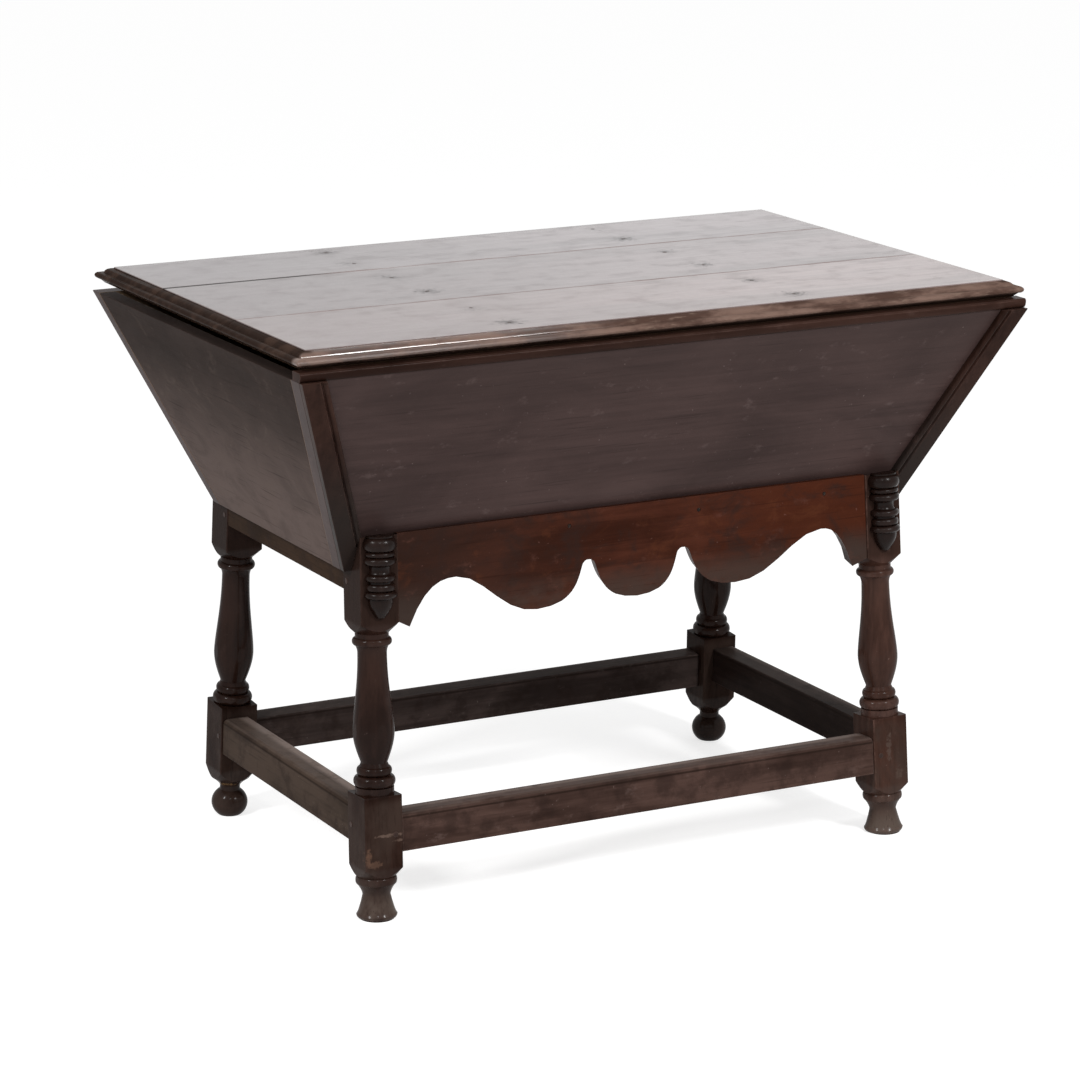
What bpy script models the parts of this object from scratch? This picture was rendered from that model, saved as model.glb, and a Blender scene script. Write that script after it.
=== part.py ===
"""Dough bin: a splayed board trough with a lift-off lid, on a turned stand.

Metres, +Z up, front towards -Y. The origin lies on the floor under the middle of the bin.
"""
import math

import bmesh
import bpy
from mathutils import Euler, Matrix, Vector

# Overall height, and the clearance between pieces that fit together
HEIGHT = 0.760
FIT = 0.0003

# Lid: three planks with a moulded edge, nailed to two cleats
LID_END_OVERHANG = 0.001
LID_SIDE_SETBACK = 0.012
LID_THICKNESS = 0.022
BACK_PLANK_WIDTH = 0.1955
FRONT_PLANK_WIDTH = 0.232
PLANK_GAP = 0.0008
MOULD_INSET = 0.0205
MOULD_STEP = 0.0015
OVOLO_WIDTH = 0.0105
OVOLO_DROP = 0.0060
NOSE_HEIGHT = 0.0090
NOSE_DEPTH = 0.0055
UNDERCUT = 0.0110
CLEAT_SPACING = 0.410
CLEAT_WIDTH = 0.052
CLEAT_FRONT_GAP = 0.012
CLEAT_BACK_INSET = 0.0055
LID_NAIL_DIAMETER = 0.0045
LID_NAIL_BITE = 0.009
LID_NAIL_SHARES = (0.26, 0.72)

# Trough: four splayed boards round two floor planks, with strips planted on the front
TROUGH_TOP_LENGTH = 1.038
TROUGH_BOTTOM_LENGTH = 0.812
TROUGH_TOP_WIDTH = 0.686
TROUGH_BOTTOM_WIDTH = 0.417
BOARD = 0.022
FLOOR_BOARD = 0.018
RIM_HEIGHT = 0.012
RIM_WIDTH = 0.024
RIM_OVERHANG = 0.005
RIM_COVE = 0.004
STRIP_WIDTH = 0.034
STRIP_THICKNESS = 0.009
STRIP_BEAD = 0.007
STRIP_GROOVE = 0.003

# Stand: square legs, turned between the blocks, which lean towards the middle of the bin as they rise,
# their tops cut to a cheek on which the trough leans and their feet cut level with the floor
LEG_SQUARE = 0.0524
LEG_TOP = 0.497
LEG_CHEEK = 0.0015
LEG_END_SETBACK = 0.011
LEAN_ALONG_DEGREES = 1.25
LEAN_ACROSS_DEGREES = 3.7
FOOT_SPARE = 0.004
FOOT_HEIGHT = 0.070
LOWER_BLOCK = 0.093
UPPER_BLOCK = 0.1105
BEAD_LIP = 0.002

# Turned shaft, from the lower block upwards: only the front legs have the plinth
PLINTH_HEIGHT = 0.009
PLINTH_RADIUS = 0.0250
TORUS_HEIGHT = 0.015
TORUS_RADIUS = 0.0268
RING_HEIGHT = 0.008
RING_RADIUS = 0.0200
NECK_HEIGHT = 0.008
NECK_RADIUS = 0.0170
BELLY_RISE = 0.042
BELLY_RADIUS = 0.0268
VASE_TOP_RADIUS = 0.0187
VASE_EASE = 0.75
FLARE_HEIGHT = 0.010
FLARE_RADIUS = 0.0215
COLLAR_HEIGHT = 0.010
COLLAR_RADIUS = 0.0254
CAP_NECK_HEIGHT = 0.006
CAP_SHOULDER = 0.016

# Feet: a bell in front, a ball at the back
FOOT_SHOULDER = 0.015
FOOT_COLLAR_HEIGHT = 0.010
FOOT_COLLAR_RADIUS = 0.0267
BELL_RADIUS = 0.0264
BELL_EDGE_HEIGHT = 0.005
BELL_EDGE_RADIUS = 0.0225
BELL_NECK_DROP = 0.014
BELL_NECK_RADIUS = 0.0180
BELL_SWEEP = 0.7
COLLAR_SWEEP = 1.6
BALL_RADIUS = 0.0248
BALL_FLAT = 0.005
BALL_NECK_RADIUS = 0.0138
BALL_NECK_LENGTH = 0.006
BALL_FLARE = 0.0128
BALL_SWEEP = 1.4

# Split spindles on the front legs
SPINDLE_RISE = 0.002
SPINDLE_CAP = 0.0025
SPINDLE_CAP_RADIUS = 0.0185
SPINDLE_BULB = 0.018
SPINDLE_BULB_RADIUS = 0.0225
SPINDLE_RING = 0.007
SPINDLE_RING_RADIUS = 0.0205
SPINDLE_BIG_RING = 0.0105
SPINDLE_BIG_RING_RADIUS = 0.0218
SPINDLE_EDGE_RADIUS = 0.0165
SPINDLE_COVE = 0.0115
SPINDLE_COVE_RADIUS = 0.0138
SPINDLE_LOW_RING = 0.009
SPINDLE_HOLLOW = 0.003
SPINDLE_HOLLOW_RADIUS = 0.0150
SPINDLE_BAND = 0.0095
SPINDLE_BAND_RADIUS = 0.0195
SPINDLE_TORUS = 0.0095
SPINDLE_TORUS_RADIUS = 0.0218
SPINDLE_FILLET = 0.0035
SPINDLE_DROP = 0.0215
SPINDLE_TIP_RADIUS = 0.0060

# Aprons and side rails
APRON_HEIGHT = 0.121
APRON_THICKNESS = 0.024
APRON_SETBACK = 0.002
APRON_TENON_DROP = 0.045
APRON_TENON_HEIGHT = 0.060
BACK_APRON_DROP = 0.008
BACK_APRON_HEIGHT = 0.097
CUSP_RISE = 0.0545
ARCH_RISE = 0.0560
SCALLOP_SHIFT = 0.004
CUSP_X = 0.0695
LOBE_X = 0.1455
OGEE_POWER = 1.15
LEFT_ARCH_RUN = 0.067
RIGHT_ARCH_RUN = 0.048
ARCH_POWER = 2.6
LEFT_TIP = 0.015
RIGHT_TIP = 0.023
TIP_RISE = 0.008
SEAT_DEPTH = 0.047
RAIL_HEIGHT = 0.029
RAIL_THICKNESS = 0.026
RAIL_SETBACK = 0.001

# Stretchers
STRETCHER_HEIGHT = 0.050
STRETCHER_THICKNESS = 0.036
STRETCHER_SETBACK = 0.002
STRETCHER_ROUND = 0.007
LONG_STRETCHER_BOTTOM = 0.087
SIDE_STRETCHER_BOTTOM = 0.096

# Joinery: the tenons that meet in a leg leave a web of wood between them
TENON_WEB = 0.0064
TENON_THICKNESS = 0.012
TENON_SHOULDER = 0.005
TENON_ROOT = 0.008
PEG_DIAMETER = 0.008
PEG_SETBACK = 0.010
PEG_PAST_TENON = 0.003
APRON_NAIL_DIAMETER = 0.005
APRON_NAIL_DROP = 0.018
APRON_NAIL_BITE = 0.010
APRON_NAIL_X = 0.090
APRON_NAIL_SPACING = 0.190

# Steps in a full turn, a quarter round, a half round, the ball and a stretch of the scallops
TURN_STEPS = 20
ARC_STEPS = 4
BEAD_STEPS = 6
BALL_STEPS = 7
SCALLOP_STEPS = 6
ROD_SIDES = 8

# Levels that follow from the sizes above
LID_UNDERSIDE = HEIGHT - LID_THICKNESS
TROUGH_TOP = LID_UNDERSIDE - RIM_HEIGHT - 2 * FIT
RAIL_TOP = LEG_TOP - SEAT_DEPTH
TROUGH_BOTTOM = RAIL_TOP + FIT
LOWER_BLOCK_TOP = FOOT_HEIGHT + LOWER_BLOCK
UPPER_BLOCK_BOTTOM = LEG_TOP - UPPER_BLOCK
SCALLOP_FOOT = LEG_TOP - APRON_HEIGHT

# Widths and places that follow: the trough leans on the legs' tops, and their axes meet the floor further out
LID_LENGTH = TROUGH_TOP_LENGTH + 2 * LID_END_OVERHANG
LID_WIDTH = TROUGH_TOP_WIDTH - 2 * LID_SIDE_SETBACK
SPLAY = (TROUGH_TOP_WIDTH - TROUGH_BOTTOM_WIDTH) / 2 / (TROUGH_TOP - TROUGH_BOTTOM)
LEG_HALF = LEG_SQUARE / 2
LEAN_X = math.radians(LEAN_ALONG_DEGREES)
LEAN_Y = math.radians(LEAN_ACROSS_DEGREES)
LEG_TOP_X = TROUGH_BOTTOM_LENGTH / 2 - LEG_END_SETBACK - LEG_HALF
LEG_TOP_Y = TROUGH_BOTTOM_WIDTH / 2 + SPLAY * (LEG_TOP - TROUGH_BOTTOM) + LEG_CHEEK - LEG_HALF
LEG_X = LEG_TOP_X + LEG_TOP * math.tan(LEAN_X)
LEG_Y = LEG_TOP_Y + LEG_TOP * math.tan(LEAN_Y)
FRONT_INNER = STRIP_THICKNESS + BOARD
TENON_LENGTH = LEG_SQUARE - STRETCHER_SETBACK - (STRETCHER_THICKNESS + TENON_THICKNESS) / 2 - TENON_WEB

# Overlength of the cutters, and sizes far below and above those of the bin
OVERCUT = 0.002
SAME_POINT = 0.000001
SPACE = 4.0

# Each side of the stand: its turn about Z, then on the floor half the leg span and the legs' distance out,
# and how far the legs lean along the side and with it
SIDES = {
    "front": (0.0, LEG_X, LEG_Y, LEAN_X, LEAN_Y),
    "right": (math.pi / 2, LEG_Y, LEG_X, LEAN_Y, LEAN_X),
    "back": (math.pi, LEG_X, LEG_Y, LEAN_X, LEAN_Y),
    "left": (-math.pi / 2, LEG_Y, LEG_X, LEAN_Y, LEAN_X),
}
CORNER_SIGNS = {"front": -1, "back": 1, "left": -1, "right": 1}

# Old wood and iron: red, green, blue, roughness, metallic
DARK_WOOD = (0.030, 0.017, 0.012, 0.42, 0.0)
RED_WOOD = (0.085, 0.030, 0.015, 0.45, 0.0)
BOARD_WOOD = (0.050, 0.034, 0.028, 0.50, 0.0)
END_WOOD = (0.070, 0.052, 0.042, 0.50, 0.0)
LID_WOOD = (0.190, 0.140, 0.120, 0.35, 0.0)
BARE_WOOD = (0.160, 0.105, 0.065, 0.60, 0.0)
IRON = (0.030, 0.028, 0.027, 0.55, 0.8)


# Scene, objects and materials

def new_collection(name):
    collection = bpy.data.collections.new(name)
    bpy.context.scene.collection.children.link(collection)
    return collection


def new_material(name, look):
    *colour, roughness, metallic = look
    material = bpy.data.materials.new(name)
    material.use_nodes = True
    shader = material.node_tree.nodes["Principled BSDF"]
    shader.inputs["Base Color"].default_value = (*colour, 1.0)
    shader.inputs["Roughness"].default_value = roughness
    shader.inputs["Metallic"].default_value = metallic
    material.diffuse_color = (*colour, 1.0)
    return material


def add_empty(name, location):
    empty = bpy.data.objects.new(name, None)
    empty.location = location
    PARTS.objects.link(empty)
    return empty


def add_part(name, mesh, look, parent, location=(0, 0, 0), rotation=(0, 0, 0)):
    part = bpy.data.objects.new(name, mesh)
    mesh.materials.append(new_material(name + "_finish", look))
    part.parent = parent
    part.location = location
    part.rotation_euler = rotation
    PARTS.objects.link(part)
    return part


def add_cutter(name, mesh, location=(0, 0, 0), rotation=(0, 0, 0)):
    cutter = bpy.data.objects.new(name, mesh)
    cutter.location = location
    cutter.rotation_euler = rotation
    cutter.hide_render = True
    cutter.display_type = "WIRE"
    CUTTERS.objects.link(cutter)
    return cutter


def combine(part, other, operation):
    step = part.modifiers.new(operation.lower(), "BOOLEAN")
    step.object = other
    step.operation = operation
    step.solver = "EXACT"


# Shapes

def finish_mesh(form, name):
    bmesh.ops.recalc_face_normals(form, faces=form.faces)
    mesh = bpy.data.meshes.new(name)
    form.to_mesh(mesh)
    form.free()
    return mesh


def block(name, low, high):
    """Upright box between two opposite corners."""
    low = Vector(low)
    high = Vector(high)
    form = bmesh.new()
    bmesh.ops.create_cube(form, size=1.0)
    bmesh.ops.scale(form, vec=[abs(length) for length in high - low], verts=form.verts)
    bmesh.ops.translate(form, vec=(low + high) / 2, verts=form.verts)
    return finish_mesh(form, name)


def rods(name, runs, radius):
    """Round rods, each from a start to an end."""
    form = bmesh.new()
    for start, end in runs:
        run = Vector(end) - Vector(start)
        place = Matrix.Translation((Vector(start) + Vector(end)) / 2)
        place = place @ run.to_track_quat("Z", "Y").to_matrix().to_4x4()
        bmesh.ops.create_cone(form, cap_ends=True, segments=ROD_SIDES, radius1=radius,
                              radius2=radius, depth=run.length, matrix=place)
    return finish_mesh(form, name)


def clip(form, planes):
    """Keep what lies behind each plane, given as a point and an outward normal, and close the cuts."""
    for point, normal in planes:
        everything = form.verts[:] + form.edges[:] + form.faces[:]
        bmesh.ops.bisect_plane(form, geom=everything, plane_co=point, plane_no=normal, clear_outer=True)
        open_edges = [edge for edge in form.edges if edge.is_boundary]
        bmesh.ops.holes_fill(form, edges=open_edges)


def clipped(mesh, planes):
    """Mesh cut back to what lies behind the planes."""
    form = bmesh.new()
    form.from_mesh(mesh)
    clip(form, planes)
    return finish_mesh(form, mesh.name)


def board(name, planes):
    """Flat-faced solid that lies behind all of the planes."""
    form = bmesh.new()
    bmesh.ops.create_cube(form, size=SPACE)
    clip(form, planes)
    return finish_mesh(form, name)


def extrusion(name, outline, length, place):
    """Flat outline given a length, centred on its plane, then moved by a matrix."""
    curve = bpy.data.curves.new(name, "CURVE")
    curve.dimensions = "2D"
    curve.fill_mode = "BOTH"
    curve.extrude = length / 2
    spline = curve.splines.new("POLY")
    spline.points.add(len(outline) - 1)
    for point, (across, up) in zip(spline.points, outline):
        point.co = (across, up, 0, 1)
    spline.use_cyclic_u = True
    holder = bpy.data.objects.new(name, curve)
    PARTS.objects.link(holder)
    graph = bpy.context.evaluated_depsgraph_get()
    flat = bpy.data.meshes.new_from_object(holder.evaluated_get(graph))
    bpy.data.objects.remove(holder)
    form = bmesh.new()
    form.from_mesh(flat)
    bmesh.ops.remove_doubles(form, verts=form.verts, dist=SAME_POINT)
    bmesh.ops.transform(form, matrix=place, verts=form.verts)
    return finish_mesh(form, name)


# An outline in Y and Z that runs along X, and one in X and Z that runs along Y
ALONG_X = Matrix(((0, 0, 1, 0), (1, 0, 0, 0), (0, 1, 0, 0), (0, 0, 0, 1)))
ALONG_Y = Matrix.Rotation(math.pi / 2, 4, "X")


def turning(name, profile):
    """Half outline of a turning, given as radius and height from the bottom upwards."""
    form = bmesh.new()
    points = [form.verts.new((radius, 0, height)) for radius, height in reversed(profile)]
    for upper, lower in zip(points, points[1:]):
        form.edges.new((upper, lower))
    mesh = bpy.data.meshes.new(name)
    form.to_mesh(mesh)
    form.free()
    return mesh


def spin(part):
    lathe = part.modifiers.new("lathe", "SCREW")
    lathe.axis = "Z"
    lathe.steps = TURN_STEPS
    lathe.render_steps = TURN_STEPS
    lathe.use_merge_vertices = True
    lathe.merge_threshold = 0.00001
    lathe.use_smooth_shade = True


# Stretches of a turned profile

def bead(level, height, edge, middle):
    """Half-round swelling, or a hollow where the middle is the smaller radius."""
    points = []
    for index in range(ARC_STEPS + 1):
        angle = math.pi * index / ARC_STEPS
        radius = edge + (middle - edge) * math.sin(angle)
        points.append((radius, level + height * (1 - math.cos(angle)) / 2))
    return points


def curve_between(start, end, blend, count):
    """Points after the start, from one radius and height to another, by a blend of the radii."""
    points = []
    for index in range(1, count + 1):
        share = index / count
        radius = start[0] + (end[0] - start[0]) * blend(share)
        points.append((radius, start[1] + (end[1] - start[1]) * share))
    return points


def sweep(start, end, power, count=4):
    """Curve that is slow at the start where the power is over 1."""
    return curve_between(start, end, lambda share: share ** power, count)


def round_out(start, end, count=5):
    """Quarter round that arrives straight up."""
    return curve_between(start, end, lambda share: math.sin(math.pi / 2 * share), count)


def taper(start, end, count=5):
    """Long taper that leaves and arrives straight up and draws in early."""
    return curve_between(start, end, lambda share: (1 - math.cos(math.pi * share ** VASE_EASE)) / 2, count)


def joined(stretches):
    """One profile from several stretches, without points that fall together."""
    profile = []
    for point in (point for stretch in stretches for point in stretch):
        if not profile or math.dist(profile[-1], point) > SAME_POINT:
            profile.append(point)
    return profile


# Planes of the trough

def slope_plane(axis, sign, inset):
    """Outer plane of a splayed side, moved inwards by an inset: axis 0 for an end, 1 for a long side."""
    top, bottom = ((TROUGH_TOP_LENGTH, TROUGH_BOTTOM_LENGTH), (TROUGH_TOP_WIDTH, TROUGH_BOTTOM_WIDTH))[axis]
    normal = Vector((0, 0, (bottom - top) / 2))
    normal[axis] = sign * (TROUGH_TOP - TROUGH_BOTTOM)
    normal.normalize()
    point = Vector((0, 0, TROUGH_BOTTOM))
    point[axis] = sign * bottom / 2
    return point - normal * inset, normal


def end_plane(sign, inset=0.0):
    return slope_plane(0, sign, inset)


def side_plane(sign, inset=0.0):
    return slope_plane(1, sign, inset)


def facing_back(plane):
    point, normal = plane
    return point, -normal


def level_plane(level, sign):
    return Vector((0, 0, level)), Vector((0, 0, sign))


def offset_at(plane, axis, level):
    """Where a splayed plane lies along its axis at a level."""
    point, normal = plane
    return point[axis] - (level - point.z) * normal.z / normal[axis]


# Legs

def shaft_profile(plinth):
    """Turned stretch between the lower and the upper block, above a plinth of the given height."""
    level = LOWER_BLOCK_TOP + plinth
    points = [(PLINTH_RADIUS, LOWER_BLOCK_TOP), (PLINTH_RADIUS, level)]
    points += bead(level, TORUS_HEIGHT, PLINTH_RADIUS - BEAD_LIP, TORUS_RADIUS)
    level += TORUS_HEIGHT
    points += bead(level, RING_HEIGHT, RING_RADIUS - BEAD_LIP, RING_RADIUS)
    level += RING_HEIGHT
    neck = (NECK_RADIUS, level + NECK_HEIGHT)
    belly = (BELLY_RADIUS, neck[1] + BELLY_RISE)
    collar_bottom = UPPER_BLOCK_BOTTOM - CAP_SHOULDER - CAP_NECK_HEIGHT - COLLAR_HEIGHT
    vase_top = (VASE_TOP_RADIUS, collar_bottom - FLARE_HEIGHT)
    points += [neck]
    points += round_out(neck, belly)
    points += taper(belly, vase_top)
    points += sweep(vase_top, (FLARE_RADIUS, collar_bottom), 2.0, 2)
    points += bead(collar_bottom, COLLAR_HEIGHT, FLARE_RADIUS, COLLAR_RADIUS)
    return points + [(FLARE_RADIUS, UPPER_BLOCK_BOTTOM - CAP_SHOULDER)]


def bell_foot():
    collar_bottom = FOOT_HEIGHT - FOOT_SHOULDER - FOOT_COLLAR_HEIGHT
    edge = FOOT_COLLAR_RADIUS - BEAD_LIP
    neck = (BELL_NECK_RADIUS, collar_bottom - BELL_NECK_DROP)
    points = [(BELL_EDGE_RADIUS, -FOOT_SPARE), (BELL_EDGE_RADIUS, 0), (BELL_RADIUS, BELL_EDGE_HEIGHT)]
    points += sweep((BELL_RADIUS, BELL_EDGE_HEIGHT), neck, BELL_SWEEP)
    points += sweep(neck, (edge, collar_bottom), COLLAR_SWEEP, 3)
    return points + bead(collar_bottom, FOOT_COLLAR_HEIGHT, edge, FOOT_COLLAR_RADIUS)


def ball_foot():
    """Ball that the floor cuts flat, under a thin neck that flares to the block."""
    flare_top = (FOOT_COLLAR_RADIUS, FOOT_HEIGHT - FOOT_SHOULDER)
    neck_top = (BALL_NECK_RADIUS, flare_top[1] - BALL_FLARE)
    high = math.acos(BALL_NECK_RADIUS / BALL_RADIUS)
    half_height = (neck_top[1] - BALL_NECK_LENGTH + BALL_FLAT) / (1 + math.sin(high))
    centre = half_height - BALL_FLAT
    low = math.asin(-(centre + FOOT_SPARE) / half_height)
    points = []
    for index in range(BALL_STEPS + 1):
        angle = low + (high - low) * index / BALL_STEPS
        points.append((BALL_RADIUS * math.cos(angle), centre + half_height * math.sin(angle)))
    return points + [neck_top] + sweep(neck_top, flare_top, BALL_SWEEP, 3)


def leg_profile(foot, plinth):
    """Foot, lower block, shaft and upper block: the blocks stay wide for the square to cut."""
    corner = LEG_SQUARE / math.sqrt(2) / math.cos(math.pi / TURN_STEPS) + OVERCUT / 2
    lower_block = [(corner, FOOT_HEIGHT), (corner, LOWER_BLOCK_TOP)]
    upper_block = [(corner, UPPER_BLOCK_BOTTOM), (corner, LEG_TOP), (0, LEG_TOP)]
    return joined([[(0, -FOOT_SPARE)], foot, lower_block, shaft_profile(plinth), upper_block])


def leg_place(along, depth):
    """Location and rotation of a leg: along is -1 on the left and 1 on the right, depth -1 at the front."""
    return (along * LEG_X, depth * LEG_Y, 0), (depth * LEAN_Y, -along * LEAN_X, 0)


def build_leg(name, profile, place, waste, parent):
    """Square leg turned between its blocks, less the waste where the trough sits and under the floor."""
    leg = add_part(name, turning(name, profile), DARK_WOOD, parent, *place)
    spin(leg)
    low = (-LEG_HALF, -LEG_HALF, -FOOT_SPARE - OVERCUT)
    high = (LEG_HALF, LEG_HALF, LEG_TOP + OVERCUT)
    combine(leg, add_cutter(name + "_square", block(name + "_square", low, high), *place), "INTERSECT")
    for cutter in waste:
        combine(leg, cutter, "DIFFERENCE")
    return leg


def build_legs(parent):
    seat_planes = [side_plane(-1, -FIT), side_plane(1, -FIT), level_plane(RAIL_TOP, -1)]
    seat = add_cutter("trough_seat", board("trough_seat", seat_planes))
    waste = (seat, add_cutter("floor", board("floor", [level_plane(0, 1)])))
    front = leg_profile(bell_foot(), PLINTH_HEIGHT)
    back = leg_profile(ball_foot(), 0)
    legs = {}
    for name, along in (("left", -1), ("right", 1)):
        legs["front", name] = build_leg("leg_front_" + name, front, leg_place(along, -1), waste, parent)
        legs["back", name] = build_leg("leg_back_" + name, back, leg_place(along, 1), waste, parent)
    return legs, seat


def spindle_profile():
    """Split turning from its drop up to the disc on its bulb."""
    lower = ((SPINDLE_TORUS, SPINDLE_TORUS_RADIUS), (SPINDLE_BAND, SPINDLE_BAND_RADIUS))
    upper = ((SPINDLE_LOW_RING, SPINDLE_RING_RADIUS), (SPINDLE_COVE, SPINDLE_COVE_RADIUS),
             (SPINDLE_BIG_RING, SPINDLE_BIG_RING_RADIUS), (SPINDLE_RING, SPINDLE_RING_RADIUS),
             (SPINDLE_BULB, SPINDLE_BULB_RADIUS))
    top = LEG_TOP + SPINDLE_RISE
    plain = SPINDLE_DROP + SPINDLE_FILLET + SPINDLE_HOLLOW + SPINDLE_CAP
    tip = (SPINDLE_TIP_RADIUS, top - plain - sum(height for height, _ in lower + upper))
    drop_top = (SPINDLE_EDGE_RADIUS, tip[1] + SPINDLE_DROP)
    stretches = [[(0, tip[1]), tip], round_out(tip, drop_top)]
    level = drop_top[1] + SPINDLE_FILLET
    for height, radius in lower:
        stretches.append(bead(level, height, SPINDLE_EDGE_RADIUS, radius))
        level += height
    stretches.append([(SPINDLE_HOLLOW_RADIUS, level), (SPINDLE_HOLLOW_RADIUS, level + SPINDLE_HOLLOW)])
    level += SPINDLE_HOLLOW
    for height, radius in upper:
        stretches.append(bead(level, height, SPINDLE_EDGE_RADIUS, radius))
        level += height
    return joined(stretches + [[(SPINDLE_CAP_RADIUS, level), (SPINDLE_CAP_RADIUS, top), (0, top)]])


def build_spindles(parent):
    reach = 2 * SPINDLE_BULB_RADIUS
    for name, along in (("split_spindle_left", -1), ("split_spindle_right", 1)):
        foot, rotation = leg_place(along, -1)
        location = Vector(foot) + Euler(rotation).to_matrix() @ Vector((0, -(LEG_HALF + FIT), 0))
        spindle = add_part(name, turning(name, spindle_profile()), DARK_WOOD, parent, location, rotation)
        spin(spindle)
        half = block(name + "_half", (-reach, -reach, 0), (reach, 0, HEIGHT))
        combine(spindle, add_cutter(name + "_half", half, location, rotation), "INTERSECT")


# Members between the legs: modelled as on the front, at the line of the legs' axes, then leant and turned

def corner_of(side, end):
    """Leg at one end of a side, going by the turn of that side."""
    return {
        "front": ("front", "right" if end > 0 else "left"),
        "back": ("back", "left" if end > 0 else "right"),
        "left": ("front" if end > 0 else "back", "left"),
        "right": ("back" if end > 0 else "front", "right"),
    }[side]


def side_place(side):
    """Location and rotation that carry a member from the origin to its side of the stand."""
    turn, _, out, _, tilt = SIDES[side]
    return Matrix.Rotation(turn, 3, "Z") @ Vector((0, -out, 0)), (-tilt, 0, turn)


def joint_place(side, corner):
    """Location and rotation of a pegged joint: those of its leg, turned to the member's side."""
    foot, lean = leg_place(CORNER_SIGNS[corner[1]], CORNER_SIGNS[corner[0]])
    return foot, (Euler(lean).to_matrix() @ Matrix.Rotation(SIDES[side][0], 3, "Z")).to_euler()


def inner_face(side, level):
    """Where the legs' inner faces lie along a side at a level."""
    _, along, _, lean, _ = SIDES[side]
    return along - level * math.tan(lean) - LEG_HALF / math.cos(lean)


def shoulder_planes(side):
    """Planes of a member's two shoulders, which lean as the legs do."""
    lean = SIDES[side][3]
    reach = inner_face(side, 0) - FIT
    return [(Vector((end * reach, 0, 0)), Vector((end * math.cos(lean), 0, math.sin(lean)))) for end in (-1, 1)]


def member_depth(setback, thickness):
    """Outer and inner face of a member, going by the legs' axes."""
    return setback - LEG_HALF, setback - LEG_HALF + thickness


def add_member(name, side, body, depth, tenon, look, legs, parent):
    """Board or bar with a pegged tenon at each end: depth is its outer and inner face, tenon its levels."""
    middle = sum(depth) / 2
    low, high = tenon
    half = TENON_THICKNESS / 2
    member = add_part(name, clipped(body, shoulder_planes(side)), look, parent, *side_place(side))
    for end in (-1, 1):
        corner = corner_of(side, end)
        leg = legs[corner]
        place = joint_place(side, corner)
        root = -end * (LEG_HALF + TENON_ROOT)
        tip = -end * (LEG_HALF - TENON_LENGTH)
        tongue = block(name + "_tongue", (root, middle - half, low), (tip, middle + half, high))
        combine(member, add_cutter(name + "_tongue", tongue, *place), "UNION")
        mortise = block(name + "_mortise", (root, middle - half - FIT, low - FIT),
                        (tip + end * FIT, middle + half + FIT, high + FIT))
        combine(leg, add_cutter(name + "_mortise", mortise, *place), "DIFFERENCE")
        peg_x = -end * (LEG_HALF - PEG_SETBACK)
        level = (low + high) / 2
        outside = Vector((peg_x, -LEG_HALF, level))
        inside = Vector((peg_x, middle + half + PEG_PAST_TENON, level))
        peg = name + "_peg_" + next(word for word in corner if word != side)
        add_part(peg, rods(peg, [(outside, inside)], PEG_DIAMETER / 2), DARK_WOOD, parent, *place)
        run = (outside - Vector((0, OVERCUT, 0)), inside + Vector((0, FIT, 0)))
        hole = add_cutter(peg + "_hole", rods(peg + "_hole", [run], PEG_DIAMETER / 2 + FIT), *place)
        combine(leg, hole, "DIFFERENCE")
        combine(member, hole, "DIFFERENCE")
    return member


def build_stretchers(legs, parent):
    """Box stretcher, with the outer top edge of each bar rounded over."""
    depth = member_depth(STRETCHER_SETBACK, STRETCHER_THICKNESS)
    for side in SIDES:
        bottom = LONG_STRETCHER_BOTTOM if side in ("front", "back") else SIDE_STRETCHER_BOTTOM
        top = bottom + STRETCHER_HEIGHT
        outline = [(depth[0], bottom), (depth[1], bottom), (depth[1], top)]
        for index in range(ARC_STEPS + 1):
            angle = math.pi / 2 * (1 + index / ARC_STEPS)
            outline.append((depth[0] + STRETCHER_ROUND * (1 + math.cos(angle)),
                            top - STRETCHER_ROUND * (1 - math.sin(angle))))
        body = extrusion("stretcher_" + side, outline, 2 * SIDES[side][1], ALONG_X)
        tenon = (bottom + TENON_SHOULDER, top - TENON_SHOULDER)
        add_member("stretcher_" + side, side, body, depth, tenon, DARK_WOOD, legs, parent)


def build_side_rails(legs, parent):
    """Low rails, level on top, that carry the ends of the trough."""
    bottom = RAIL_TOP - RAIL_HEIGHT
    depth = member_depth(RAIL_SETBACK, RAIL_THICKNESS)
    above = add_cutter("rail_level", board("rail_level", [level_plane(RAIL_TOP, -1)]))
    for side in ("left", "right"):
        length = SIDES[side][1]
        body = block("side_rail_" + side, (-length, depth[0], bottom), (length, depth[1], RAIL_TOP + OVERCUT))
        tenon = (bottom + TENON_SHOULDER, RAIL_TOP - TENON_SHOULDER)
        rail = add_member("side_rail_" + side, side, body, depth, tenon, DARK_WOOD, legs, parent)
        combine(rail, above, "DIFFERENCE")


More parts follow.
